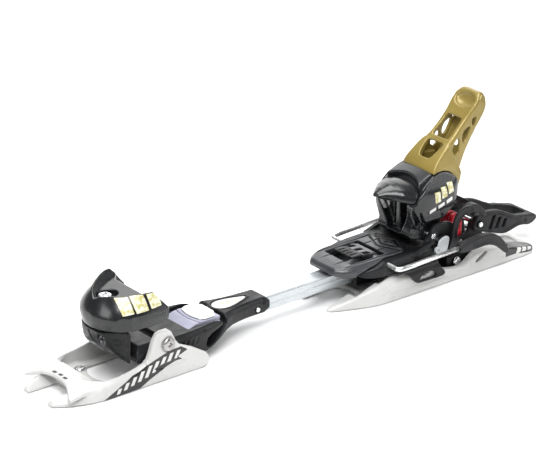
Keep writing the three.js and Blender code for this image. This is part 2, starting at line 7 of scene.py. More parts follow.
import bpy
import numpy as np
from mathutils import Matrix, Vector


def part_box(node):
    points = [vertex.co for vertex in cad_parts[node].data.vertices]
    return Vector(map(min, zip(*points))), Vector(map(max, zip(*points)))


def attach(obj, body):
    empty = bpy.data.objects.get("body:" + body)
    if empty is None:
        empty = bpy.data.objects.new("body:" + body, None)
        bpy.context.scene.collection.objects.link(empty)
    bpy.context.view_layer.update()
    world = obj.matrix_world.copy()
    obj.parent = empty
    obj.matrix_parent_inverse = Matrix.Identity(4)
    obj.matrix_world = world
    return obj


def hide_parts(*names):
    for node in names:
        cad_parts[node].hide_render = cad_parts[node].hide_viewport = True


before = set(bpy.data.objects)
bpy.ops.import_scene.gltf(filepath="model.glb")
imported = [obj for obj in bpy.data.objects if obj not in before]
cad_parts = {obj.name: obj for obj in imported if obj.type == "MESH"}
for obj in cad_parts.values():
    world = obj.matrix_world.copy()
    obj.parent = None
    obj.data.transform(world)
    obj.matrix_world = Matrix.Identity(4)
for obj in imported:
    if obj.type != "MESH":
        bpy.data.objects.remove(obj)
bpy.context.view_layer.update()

# Pins and axles that pieces share, as (x, z) in the shape code's millimetres.
PIVOT = (171.2, 32)
BAR_PIN = (58, 21)
BRAKE_AXIS = (-71, 33)
AXLE = (-124, 45)
HUB = (-139, 79)
BRACKET_SCREW = (-153, 13)
CLAW_PIN = (-172, 21)
LEVER_PIN = (-188, 36)
# Upright toe post as (x, y), and the ski screws as (x, y, height of the seat under the head).
POST = (207, 0)
FRONT_SCREWS = ((143, 20, 2.5), (143, -20, 2.5), (221, 19, 2.5), (221, -19, 2.5))
REAR_SCREWS = ((-84, 22, 2.5), (-84, -22, 2.5), (-212, 24, 6.3), (-212, -24, 6.3))
BASE_HALF = 37.2
SIDES = (("left", 1), ("right", -1))
# Voxel sizes for the large pieces and for the finely shaped ones.
STEP, FINE = ((0.7, 0.6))
# A mark's distance where it is absent.
FAR = 9.0

# The datum ties the shape code's millimetres to the frame: the pivot bolt's middle is at PIVOT.
bolt_low, bolt_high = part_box("pivot_bolt_left")
bolt_middle = (bolt_low + bolt_high) * 500
DATUM = Vector((bolt_middle.x - PIVOT[0], 0.0, bolt_middle.z - PIVOT[1]))


# ---------------------------------------------------------------- signed-distance modelling
class Field:
    """A block of space, in mm, in which solids are signed distances (negative inside)."""

    def __init__(self, low, high, step=STEP, symmetric=True):
        pad = 2.5 * step
        axes = []
        for k in range(3):
            a, b = low[k] - pad, high[k] + pad
            if k == 1 and symmetric:
                n = int(math.ceil(b / step))
                axes.append((np.arange(-n, n) + 0.5) * step)
            else:
                axes.append(np.arange(a, b + step, step))
        self.step = step
        self.axes = axes
        self.x = axes[0].astype(np.float32)[:, None, None]
        self.y = axes[1].astype(np.float32)[None, :, None]
        self.z = axes[2].astype(np.float32)[None, None, :]

    def pair(self, axis):
        return {"x": (self.y, self.z), "y": (self.x, self.z), "z": (self.x, self.y)}[axis]

    def along(self, axis):
        return {"x": self.x, "y": self.y, "z": self.z}[axis]

    def poly(self, axis, points):
        """Distance to an outline drawn across the given axis."""
        return polygon(*self.pair(axis), points)

    def prism(self, axis, points, low, high, r=0.0):
        w = self.along(axis)
        return both(self.poly(axis, points), np.abs(w - (low + high) / 2) - (high - low) / 2, r)

    def rod(self, axis, centre, radius, low=-1e3, high=1e3, r=0.0):
        u, v = self.pair(axis)
        w = self.along(axis)
        round_ = np.sqrt((u - centre[0]) ** 2 + (v - centre[1]) ** 2) - radius
        return both(round_, np.abs(w - (low + high) / 2) - (high - low) / 2, r)

    def block(self, low, high, r=0.0):
        d = [np.abs(a - (l + h) / 2) - (h - l) / 2 for a, l, h in zip((self.x, self.y, self.z), low, high)]
        return both(both(d[0], d[1], r), d[2], r)

    def turned(self, centre, degrees):
        """Coordinates (u, w) along the x and z axes of a frame turned about +Y."""
        a = math.radians(degrees)
        dx, dz = self.x - centre[0], self.z - centre[1]
        return dx * math.cos(a) + dz * math.sin(a), -dx * math.sin(a) + dz * math.cos(a)

    def pill(self, a, b, radius):
        """Round bar between two points."""
        span = [end - start for start, end in zip(a, b)]
        offset = [w - start for w, start in zip((self.x, self.y, self.z), a)]
        t = sum(o * d for o, d in zip(offset, span)) / sum(d * d for d in span)
        t = np.clip(t, 0, 1)
        return np.sqrt(sum((o - t * d) ** 2 for o, d in zip(offset, span))) - radius


def polygon(u, v, points):
    """Signed distance to a closed outline, on a broadcast grid."""
    p = [np.array(q, np.float32) for q in points]
    shape = np.broadcast(u, v).shape
    best = np.full(shape, 1e9, np.float32)
    inside = np.zeros(shape, bool)
    for i in range(len(p)):
        a, b = p[i - 1], p[i]
        e = b - a
        wu, wv = u - a[0], v - a[1]
        t = np.clip((wu * e[0] + wv * e[1]) / max(float(e @ e), 1e-9), 0, 1)
        best = np.minimum(best, (wu - t * e[0]) ** 2 + (wv - t * e[1]) ** 2)
        if a[1] != b[1]:
            crosses = ((v >= a[1]) != (v >= b[1]))
            side = u < (b[0] - a[0]) * (v - a[1]) / (b[1] - a[1]) + a[0]
            inside ^= crosses & side
    return np.where(inside, -np.sqrt(best), np.sqrt(best))


def smooth(points, rounds=2):
    """Corner cutting: turns a drawn outline into a flowing one."""
    for _ in range(rounds):
        out = []
        for a, b in zip(points, points[1:] + points[:1]):
            for t in (0.25, 0.75):
                out.append((a[0] * (1 - t) + b[0] * t, a[1] * (1 - t) + b[1] * t))
        points = out
    return points


def mirrored(half):
    """A closed outline from one half of it, drawn from or to the mirror line y = 0."""
    return half + [(a, -b) for a, b in reversed(half) if b]


def curve(u, places, values):
    """Values along u, in straight stretches between the given places."""
    return np.interp(u, places, values).astype(np.float32)


def distance(field, centre):
    """Distance from an axis along Y through (x, z)."""
    return np.sqrt((field.x - centre[0]) ** 2 + (field.z - centre[1]) ** 2)


def at(centre, y):
    """A point on an axis along Y through (x, z)."""
    return centre[0], y, centre[1]


def either(a, b, r=0.0):
    """Union with a fillet of about r."""
    if r <= 0:
        return np.minimum(a, b)
    h = np.maximum(r - np.abs(a - b), 0) / r
    return np.minimum(a, b) - h * h * r * 0.25


def both(a, b, r=0.0):
    """Intersection with a rounded edge of about r."""
    if r <= 0:
        return np.maximum(a, b)
    h = np.maximum(r - np.abs(a - b), 0) / r
    return np.maximum(a, b) + h * h * r * 0.25


def less(a, b, r=0.0):
    """a with b removed, with a rounded rim."""
    return both(a, -b, r)


def surface(field, d):
    """Surface nets: one vertex per cell that the surface crosses."""
    d = np.array(np.broadcast_to(d, [len(a) for a in field.axes]), np.float32)
    for k in range(3):  # close the solid at the block's faces
        index = [slice(None)] * 3
        for end in (0, -1):
            index[k] = end
            d[tuple(index)] = np.maximum(d[tuple(index)], 0.01 * field.step)
    inside = d < 0
    cells = tuple(n - 1 for n in d.shape)
    total = np.zeros((3, cells[0] * cells[1] * cells[2]))
    count = np.zeros(total.shape[1])
    quads = []
    grid = np.arange(cells[0] * cells[1] * cells[2]).reshape(cells)
    for k in range(3):
        low = [slice(None)] * 3
        high = [slice(None)] * 3
        low[k], high[k] = slice(0, -1), slice(1, None)
        a, b = d[tuple(low)], d[tuple(high)]
        cross = inside[tuple(low)] != inside[tuple(high)]
        i, j, m = np.nonzero(cross)
        fa, fb = a[i, j, m], b[i, j, m]
        t = fa / (fa - fb)
        point = np.stack([i, j, m], 1).astype(np.float32)
        point[:, k] += t
        o1, o2 = [q for q in range(3) if q != k]
        idx = np.stack([i, j, m], 1)
        for s1 in (0, 1):
            for s2 in (0, 1):
                c = idx.copy()
                c[:, o1] -= s1
                c[:, o2] -= s2
                ok = (c[:, o1] >= 0) & (c[:, o2] >= 0) & (c[:, o1] < cells[o1]) & (c[:, o2] < cells[o2])
                flat = grid[c[ok, 0], c[ok, 1], c[ok, 2]]
                for q in range(3):
                    total[q] += np.bincount(flat, point[ok, q], total.shape[1])
                count += np.bincount(flat, minlength=len(count))
        ok = (idx[:, o1] > 0) & (idx[:, o2] > 0) & (idx[:, o1] < cells[o1]) & (idx[:, o2] < cells[o2])
        c = idx[ok]
        ring = []
        for s1, s2 in ((1, 1), (0, 1), (0, 0), (1, 0)):
            e = c.copy()
            e[:, o1] -= s1
            e[:, o2] -= s2
            ring.append(grid[e[:, 0], e[:, 1], e[:, 2]])
        ring = np.stack(ring, 1)
        flip = (fa[ok] < 0) == (k != 1)
        ring[~flip] = ring[~flip][:, ::-1]
        quads.append(ring)
    quads = np.concatenate(quads)
    used = np.nonzero(count > 0)[0]
    remap = np.full(grid.size, -1, np.int64)
    remap[used] = np.arange(len(used))
    points = (total[:, used] / count[used]).T
    points = points * field.step + np.array([a[0] for a in field.axes], np.float32)
    return points, remap[quads]


def mesh_piece(name, points, faces):
    """Points in mm from the datum become a Blender mesh in metres."""
    mesh = bpy.data.meshes.new(name)
    co = (np.asarray(points, np.float64) + np.array(DATUM)) / 1000
    faces = np.asarray(faces)
    mesh.vertices.add(len(co))
    mesh.vertices.foreach_set("co", co.astype(np.float32).ravel())
    mesh.loops.add(faces.size)
    mesh.loops.foreach_set("vertex_index", faces.ravel().astype(np.int32))
    mesh.polygons.add(len(faces))
    mesh.polygons.foreach_set("loop_start", np.arange(0, faces.size, faces.shape[1], dtype=np.int32))
    mesh.update(calc_edges=True)
    mesh.validate()
    mesh.polygons.foreach_set("use_smooth", np.ones(len(mesh.polygons), bool))
    piece = bpy.data.objects.new(name, mesh)
    bpy.context.scene.collection.objects.link(piece)
    return piece


def label(piece, marks, points):
    """Stores a piece's printed marks as distances at its vertices."""
    for attribute, values in (marks(points) if marks else {}).items():
        layer = piece.data.attributes.new(attribute, "FLOAT", "POINT")
        layer.data.foreach_set("value", np.asarray(values, np.float32))


def solid(name, field, d, finish, body, replaced, marks=None):
    """Meshes a field, gives it a finish, rides it on its body and hides the CAD node it stands for."""
    points, faces = surface(field, d)
    piece = mesh_piece(name, points, faces)
    label(piece, marks, points)
    settle(piece, finish, body, replaced)


def pair(name, field, d, finish, body, replaced):
    """A left-hand piece and its mirror image."""
    points, faces = surface(field, d)
    for side, s in SIDES:
        own = points * np.array([1, s, 1])
        piece = mesh_piece(f"{name}_{side}", own, faces if s > 0 else faces[:, ::-1])
        settle(piece, finish, body, f"{replaced}_{side}")


def hardware(name, profile, place, finish, body, replaced, axis=(0, 0, 1), recess=None,
             step=0.3, turn=0.0):
    """A screw, pin or bolt: a lathed (radius, height) profile with a driver recess, laid along an axis."""
    step = step * 1
    r = max(p[0] for p in profile)
    low, high = min(p[1] for p in profile), max(p[1] for p in profile)
    f = Field((-r, -r, low), (r, r, high), step, symmetric=False)
    radius = np.sqrt(f.x ** 2 + f.y ** 2)
    d = polygon(radius, f.z, profile + [(-p[0], p[1]) for p in reversed(profile)])
    if recess:
        kind, size, depth = recess
        if kind == "cross":
            tool = both(np.minimum(np.abs(f.x), np.abs(f.y)) - size * 0.2, radius - size, 0.3)
        elif kind == "lobes":
            tool = radius - size * (0.86 + 0.14 * np.cos(6 * np.arctan2(f.y, f.x)))
        else:
            tool = np.maximum(np.abs(f.x), np.abs(f.x) * 0.5 + np.abs(f.y) * 0.866) - size
        d = less(d, both(tool, high - depth - f.z), 0.25)
    points, faces = surface(f, d)
    turned = Vector(axis).to_track_quat("Z", "Y").to_matrix() @ Matrix.Rotation(math.radians(turn), 3, "Z")
    points = points @ np.array(turned).T + np.array(place)
    settle(mesh_piece(name, points, faces), finish, body, replaced)


def tube(name, path, radius, finish, body, replaced, sides=20):
    """Round wire along a path."""
    path = np.asarray(path, float)
    ahead = np.gradient(path, axis=0)
    ahead /= np.linalg.norm(ahead, axis=1)[:, None]
    up = np.array([0.0, 0.13, 1.0]) if abs(ahead[0][2]) < 0.9 else np.array([1.0, 0.0, 0.1])
    rings = []
    for p, t in zip(path, ahead):
        up = up - t * (up @ t)
        up /= np.linalg.norm(up)
        side = np.cross(t, up)
        for k in range(sides):
            a = 2 * math.pi * k / sides
            rings.append(p + radius * (math.cos(a) * up + math.sin(a) * side))
    faces = []
    for i in range(len(path) - 1):
        for k in range(sides):
            n = (k + 1) % sides
            faces.append((i * sides + k, i * sides + n, (i + 1) * sides + n, (i + 1) * sides + k))
    last = (len(path) - 1) * sides
    for end, centre in ((0, path[0]), (last, path[-1])):
        rings.append(centre)
        hub = len(rings) - 1
        for k in range(sides):
            n = (k + 1) % sides
            faces.append((hub, end + n, end + k, hub) if end == 0 else (hub, end + k, end + n, hub))
    mesh = bpy.data.meshes.new(name)
    co = (np.array(rings) + np.array(DATUM)) / 1000
    mesh.from_pydata(co.tolist(), [], [f[:3] if f[0] == f[-1] else f for f in faces])
    mesh.polygons.foreach_set("use_smooth", np.ones(len(mesh.polygons), bool))
    piece = bpy.data.objects.new(name, mesh)
    bpy.context.scene.collection.objects.link(piece)
    settle(piece, finish, body, replaced)


def rounded_path(points, bend, steps=10):
    """A polyline whose corners are replaced by arcs of about the given radius."""
    points = [np.array(p, float) for p in points]
    out = [points[0]]
    for a, b, c in zip(points, points[1:], points[2:]):
        ab, cb = (a - b) / np.linalg.norm(a - b), (c - b) / np.linalg.norm(c - b)
        reach = min(bend, 0.45 * np.linalg.norm(a - b), 0.45 * np.linalg.norm(c - b))
        start, end = b + ab * reach, b + cb * reach
        for t in np.linspace(0, 1, steps):
            out.append((1 - t) ** 2 * start + 2 * t * (1 - t) * b + t * t * end)
    out.append(points[-1])
    return out


def settle(piece, finish, body, replaced):
    piece.data.materials.clear()
    piece.data.materials.append(finish)
    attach(piece, body)
    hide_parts(replaced)


# ---------------------------------------------------------------- materials
def node(tree, kind, **settings):
    made = tree.nodes.new(kind)
    for key, value in settings.items():
        if key.startswith("in_"):
            made.inputs[key[3:]].default_value = value
        else:
            setattr(made, key, value)
    return made


def mix(tree, factor, a, b, blend="MIX"):
    """Colour mix; each of factor, a and b is a socket or a constant."""
    made = node(tree, "ShaderNodeMix", data_type="RGBA", blend_type=blend)
    for index, value in ((0, factor), (6, a), (7, b)):
        if isinstance(value, bpy.types.NodeSocket):
            tree.links.new(value, made.inputs[index])
        else:
            made.inputs[index].default_value = value if index == 0 else (*value, 1)
    return made.outputs[2]


def calc(tree, operation, a, b):
    """Arithmetic on two values; each is a socket or a constant."""
    made = node(tree, "ShaderNodeMath", operation=operation)
    for index, value in enumerate((a, b)):
        if isinstance(value, bpy.types.NodeSocket):
            tree.links.new(value, made.inputs[index])
        else:
            made.inputs[index].default_value = value
    return made.outputs[0]


def ramp(tree, value, low, high, out_low=0.0, out_high=1.0):
    made = node(tree, "ShaderNodeMapRange", clamp=True, interpolation_type="SMOOTHSTEP")
    tree.links.new(value, made.inputs["Value"])
    for name, number in (("From Min", low), ("From Max", high), ("To Min", out_low), ("To Max", out_high)):
        made.inputs[name].default_value = number
    return made.outputs["Result"]


def noise(tree, where, scale, detail=3.0, rough=0.5, stretch=None, distortion=0.0):
    """Noise at a scale per metre, from object coordinates, optionally stretched."""
    source = where
    if stretch:
        turn = node(tree, "ShaderNodeMapping")
        turn.inputs["Scale"].default_value = stretch[:3]
        if len(stretch) > 3:
            turn.inputs["Rotation"].default_value = (0, math.radians(stretch[3]), 0)
        tree.links.new(where, turn.inputs["Vector"])
        source = turn.outputs["Vector"]
    made = node(tree, "ShaderNodeTexNoise", in_Scale=scale, in_Detail=detail, in_Roughness=rough,
                in_Distortion=distortion)
    tree.links.new(source, made.inputs["Vector"])
    return made.outputs["Fac"]


def look(name, color, rough=0.4, metal=0.0, coat=0.0, coat_rough=0.08, spec=0.5, grain=(900, 0.1),
         mottle=(35, 0.08), rough_spread=0.08, scratch=0.0, brushed=None, wear=None, inks=(), aniso=0.0):
    """A moulded, painted or bare finish with grain, colour variation, edge wear and printed marks.

    inks: (attribute, colour, grunge) or (attribute, colour, grunge, second colour); a mark covers where its
    attribute, a distance in mm, is below zero."""
    material = bpy.data.materials.new(name)
    material.use_nodes = True
    tree = material.node_tree
    shader = tree.nodes["Principled BSDF"]
    where = node(tree, "ShaderNodeTexCoord").outputs["Object"]
    broad = noise(tree, where, mottle[0], 4.0)
    tint = ramp(tree, broad, 0.3, 0.7)
    dark = tuple(c * (1 - mottle[1]) for c in color)
    light = tuple(min(1.0, c * (1 + mottle[1]) + 0.004) for c in color)
    shade = mix(tree, tint, dark, light)
    fine = noise(tree, where, grain[0], 2.0, 0.6)
    roughness = ramp(tree, noise(tree, where, mottle[0] * 3.1, 5.0), 0.3, 0.7, rough - rough_spread,
                     rough + rough_spread)
    height = fine
    if brushed:
        lines = noise(tree, where, brushed[0], 3.0, 0.7, stretch=brushed[1])
        height = calc(tree, "ADD", calc(tree, "MULTIPLY", lines, 1.5), fine)
        roughness = calc(tree, "ADD", roughness, ramp(tree, lines, 0.35, 0.65, -0.06, 0.06))
        shade = mix(tree, ramp(tree, lines, 0.35, 0.7, 0.0, 0.35), shade,
                    tuple(min(1, c * 1.25) for c in color))
    if scratch:
        lines = noise(tree, where, 60, 2.0, 0.5, stretch=(1.0, 9.0, 14.0, 24.0))
        marks = ramp(tree, lines, 0.66, 0.72, 0.0, scratch)
        roughness = calc(tree, "ADD", roughness, marks)
    for attribute, ink, grunge, *second in inks:
        tag = node(tree, "ShaderNodeAttribute", attribute_name=attribute).outputs["Fac"]
        edge = ramp(tree, tag, -0.02, -0.22)
        ink_color = ink
        if second:
            ink_color = mix(tree, ramp(tree, noise(tree, where, 320, 3.0), 0.44, 0.56), ink, second[0])
        if grunge:
            chips = noise(tree, where, 520, 4.0, 0.7, distortion=0.6)
            edge = calc(tree, "MULTIPLY", edge, ramp(tree, chips, 0.5 - grunge, 0.53 - grunge))
        shade = mix(tree, edge, shade, ink_color)
    if wear:
        point = node(tree, "ShaderNodeNewGeometry").outputs["Pointiness"]
        rubbed = calc(tree, "MULTIPLY", ramp(tree, point, 0.53, 0.60), ramp(tree, broad, 0.4, 0.65))
        rubbed = calc(tree, "MULTIPLY", rubbed, wear[1])
        shade = mix(tree, rubbed, shade, wear[0])
        roughness = calc(tree, "ADD", roughness, calc(tree, "MULTIPLY", rubbed, 0.15))
    bump = node(tree, "ShaderNodeBump", in_Strength=grain[1], in_Distance=0.00025)
    tree.links.new(height, bump.inputs["Height"])
    tree.links.new(bump.outputs["Normal"], shader.inputs["Normal"])
    tree.links.new(shade, shader.inputs["Base Color"])
    tree.links.new(roughness, shader.inputs["Roughness"])
    for socket, value in (("Metallic", metal), ("Coat Weight", coat), ("Coat Roughness", coat_rough),
                          ("Specular IOR Level", spec), ("Anisotropic", aniso)):
        shader.inputs[socket].default_value = value
    return material


WHITE = look("white_satin", (0.53, 0.53, 0.52), 0.34, coat=0.25, coat_rough=0.2, grain=(1400, 0.06),
             mottle=(22, 0.025), wear=((0.60, 0.59, 0.56), 0.35), scratch=0.05,
             inks=(("ink_black", (0.008, 0.008, 0.009), 0), ("ink_white", (0.62, 0.62, 0.60), 0)))
GLOSS = look("charcoal_gloss", (0.007, 0.0078, 0.009), 0.26, coat=0.3, coat_rough=0.14, spec=0.42,
             grain=(1600, 0.05), mottle=(30, 0.15), rough_spread=0.05, scratch=0.08,
             wear=((0.12, 0.12, 0.125), 0.4), inks=(("ink_dark", (0.008, 0.008, 0.009), 0),
                                                    ("ink_gold", (0.50, 0.46, 0.20), 0.0,
                                                     (0.72, 0.70, 0.55)),
                                                    ("ink_light", (0.70, 0.70, 0.68), 0)))
MATTE = look("black_moulded", (0.006, 0.0065, 0.0075), 0.4, coat=0.05, coat_rough=0.25, spec=0.24,
             grain=(1200, 0.35), mottle=(40, 0.2), rough_spread=0.08, wear=((0.11, 0.11, 0.115), 0.5),
             inks=(("ink_light", (0.42, 0.44, 0.45), 0),))
PADDED = look("pad_satin", (0.03, 0.032, 0.036), 0.36, coat=0.2, coat_rough=0.25, grain=(1300, 0.2),
              mottle=(38, 0.15), wear=((0.13, 0.13, 0.135), 0.5), scratch=0.06)
RUBBERY = look("dark_moulded", (0.01, 0.0105, 0.012), 0.5, spec=0.3, grain=(900, 0.5), mottle=(45, 0.2),
               wear=((0.13, 0.13, 0.13), 0.5))
ALLOY = look("anodised_alloy", (0.52, 0.55, 0.57), 0.36, metal=0.75, grain=(900, 0.08), mottle=(20, 0.04),
             brushed=(60, (1.0, 30.0, 30.0)), scratch=0.06, aniso=0.3)
STEEL = look("bright_steel", (0.72, 0.73, 0.74), 0.24, metal=1.0, grain=(700, 0.1), mottle=(60, 0.08),
             rough_spread=0.08, wear=((0.9, 0.9, 0.9), 0.4))
# Pivot-bolt steel: the base colour is darkened to paint in dark reflections; the lighter rubbed edges and
# the scratches are wear.
WORN_DARK_REFLECTION = look("worn_steel_dark_reflection", (0.36, 0.35, 0.35), 0.3, metal=0.95, grain=(700, 0.2), mottle=(60, 0.15),
            rough_spread=0.1, wear=((0.75, 0.75, 0.74), 0.5), scratch=0.15)
ZINC = look("zinc_wire", (0.78, 0.79, 0.79), 0.28, metal=0.9, grain=(500, 0.12), mottle=(80, 0.07),
            brushed=(40, (1.0, 14.0, 14.0)))
PLATE = look("slide_plate_steel", (0.70, 0.71, 0.71), 0.32, metal=0.55, grain=(800, 0.1), mottle=(50, 0.06),
             brushed=(90, (1.0, 0.12, 1.0)), scratch=0.1)
SPRING = look("spring_steel", (0.12, 0.12, 0.13), 0.35, metal=0.9, grain=(600, 0.2), mottle=(80, 0.2))
GREY = look("grey_block", (0.30, 0.30, 0.38), 0.45, grain=(1100, 0.25), mottle=(40, 0.1),
            wear=((0.5, 0.5, 0.54), 0.4))
PALE = look("pale_grey", (0.42, 0.44, 0.45), 0.4, grain=(1100, 0.2), mottle=(40, 0.08),
            wear=((0.6, 0.6, 0.6), 0.4))
GOLD = look("gold_paint", (0.27, 0.20, 0.045), 0.36, metal=0.25, coat=0.3, coat_rough=0.15,
            grain=(1500, 0.15), mottle=(28, 0.08), rough_spread=0.05, scratch=0.06,
            wear=((0.44, 0.37, 0.19), 0.4))
RED = look("red_claw", (0.62, 0.012, 0.03), 0.25, coat=0.4, grain=(1200, 0.1), mottle=(60, 0.15),
           wear=((0.85, 0.2, 0.2), 0.4))
SMOKE = look("smoke_window", (0.30, 0.32, 0.33), 0.12, coat=0.6, coat_rough=0.04, grain=(900, 0.03),
             mottle=(120, 0.2), inks=(("ink_black", (0.03, 0.03, 0.03), 0),))
BADGE = look("badge_print", (0.62, 0.63, 0.60), 0.3, metal=0.2, coat=0.4, grain=(900, 0.05),
             mottle=(90, 0.1), inks=(("ink_gold", (0.52, 0.50, 0.16), 0.1, (0.70, 0.69, 0.50)),
                                     ("ink_dark", (0.2, 0.2, 0.21), 0.05)))


# ---------------------------------------------------------------- front base
def front_base():
    f = Field((127, -38, -0.5), (276, 38, 46))
    side = [(282, -4), (277.4, 1.2), (274.6, 4.8), (269, 7.4), (260, 9.6), (250, 12.4), (243, 14.6),
            (234, 16.4), (222, 17.8), (205, 19.4), (195, 20.6), (191.0, 22.6), (188.6, 28), (185.4, 37),
            (181.6, 43.2), (177, 44.4), (170, 44.2), (166.6, 41.6), (162.4, 32.6), (158.2, 27.2),
            (144, 20.4), (130.4, 11.8), (128.2, 8.4), (130, 3), (136, -4)]
    plan = [(277, 17.8), (276.4, 20.4), (271, 24), (263, 28.6), (254, 32.6), (245, 35.4), (236, 37),
            (226, BASE_HALF), (128, BASE_HALF)]
    body = both(f.poly("y", side), f.poly("z", mirrored(plan)), 2.6)
    # The shoulders fall away outwards and towards the tips.
    edge = curve(f.x, [128, 188, 193, 200, 207, 217, 228, 238, 248, 258, 276],
                 [60, 60, 18.0, 15.0, 13.4, 12.0, 11.0, 9.2, 6.2, 3.2, 0])
    shoulder = (np.abs(f.y) - BASE_HALF + np.clip(f.x - 236, 0, 60) * 0.3 + (f.z - edge) * 1.6) * 0.53
    body = both(body, shoulder, 2.4)
    room = f.prism("z", mirrored([(244, 20), (238, 26), (231, 30.2), (222, 31.2), (120, 31.2)]), -3, 60, 4)
    body = less(body, room, 1.6)
    # Horns with inner faces that lean outwards, open between them below the saddle.
    notch = both(np.abs(f.y) - 13.0 - np.clip(f.z - 2, 0, 20) * 1.05, 247 - f.x, 3) * 0.72
    body = less(body, notch, 1.2)
    crown = 15.2 - np.clip(np.abs(f.y) - 18, 0, 20) * 0.30 - np.clip(f.x - 252, 0, 20) * 0.16
    sheet = np.abs(f.z - crown + 1.7) - 1.6
    front_edge = f.x - (256.2 + 7.6 * np.clip(np.abs(f.y) / 26, 0, 1.15) ** 2)
    rear_edge = (237.2 - 0.075 * np.clip(np.abs(f.y) - 20, 0, 14) ** 2) - f.x
    sheet = both(both(sheet, both(front_edge, rear_edge, 0.5), 1.4), np.abs(f.y) - 33, 0.5)
    body = either(body, sheet, 3.2)
    web = f.block((216, -31.4, 0), (243, 31.4, 3.6), 0.8)
    web = less(web, f.prism("z", smooth(mirrored([(205, 19.2), (213, 18.0), (219, 12.6), (221.6, 5),
                                                  (222, 0)]), 1), -5, 9), 0.6)
    body = either(body, web, 2.0)
    floor = f.prism("z", mirrored([(130.5, 32), (165.5, 32)]), 0, 4.2, 1)
    body = either(body, floor, 4)
    for s in (1, -1):
        ledge = f.block((166, s * 26.5 - 5.1, 0), (217, s * 26.5 + 5.1, 3.6), 0.8)
        ledge = both(ledge, f.z - curve(f.x, [174, 180, 206, 213], [3.6, 1.6, 1.6, 3.4]), 0.4)
        body = either(body, ledge, 2)
    for x, y, seat in FRONT_SCREWS:
        body = less(body, f.rod("z", (x, y), 5.0, seat - 0.3, 8, 0.4), 0.8)
        body = less(body, f.rod("z", (x, y), 2.9, -5, 8), 0.4)
    # Ear seats for the pivot bolts, the shallow side groove and the flat flank behind it.
    for s in (1, -1):
        body = less(body, f.rod("y", PIVOT, 6.6, s * 38.6 - 2.2, s * 38.6 + 2.2, 0.5), 0.6)
        groove = f.prism("y", smooth([(148, 10.6), (188, 12.0), (180, 15.2), (163, 16.2)], 1),
                         s * BASE_HALF - 0.8, s * BASE_HALF + 3, 0.4)
        body = less(body, groove, 0.8)
    body = less(body, f.rod("y", PIVOT, 4.2, -50, 50), 0.4)
    body = both(body, -f.z, 0.8)
    body = both(body, f.x - 275.9, 0.6)

    def marks(p):
        z = p[:, 2]
        black = polygon(p[:, 0], z, [(238, -1), (236.5, 0.3), (226, 5.4), (215, 10.4), (200, 17.0),
                                     (185, 21.6), (169.4, 26.0), (158, 26.2), (151, 21.5), (161.4, 18.0),
                                     (156.3, 14.2), (163.5, 14.1), (175, 11.2), (190, 5.4), (200.4, 0.4),
                                     (204, -1)])
        streak = np.full(len(p), FAR)
        for i in range(9):
            x = 221 - i * 7.4
            mid = np.interp(x, [155, 170, 190, 205, 223], [21.0, 19.2, 13.4, 9.0, 3.6])
            h = np.interp(x, [155, 190, 223], [3.0, 5.0, 2.2])
            u = p[:, 0] + 0.5 * (z - mid)
            streak = np.minimum(streak, np.maximum(np.abs(u - x) - 1.9, np.abs(z - mid) - h))
        flank = BASE_HALF - 1.2 - np.abs(p[:, 1])
        bars = np.full(len(p), FAR)
        for i in range(3):
            y0 = (i - 1) * 7.4
            u = p[:, 1] + 0.35 * (p[:, 0] - 252.5)
            bars = np.minimum(bars,
                              np.maximum(np.abs(u - y0) - 2.5,
                                         np.abs(p[:, 0] - 252.6 - 0.012 * y0 * y0) - 1.5))
        bars = np.maximum(bars, 13.5 - z)
        black = np.minimum(np.maximum(black, flank), bars)
        return {"ink_black": black, "ink_white": np.maximum(np.maximum(streak, black + 0.7), flank)}

    solid("front_base_body", f, body, WHITE, "ski_base", "front_base", marks)


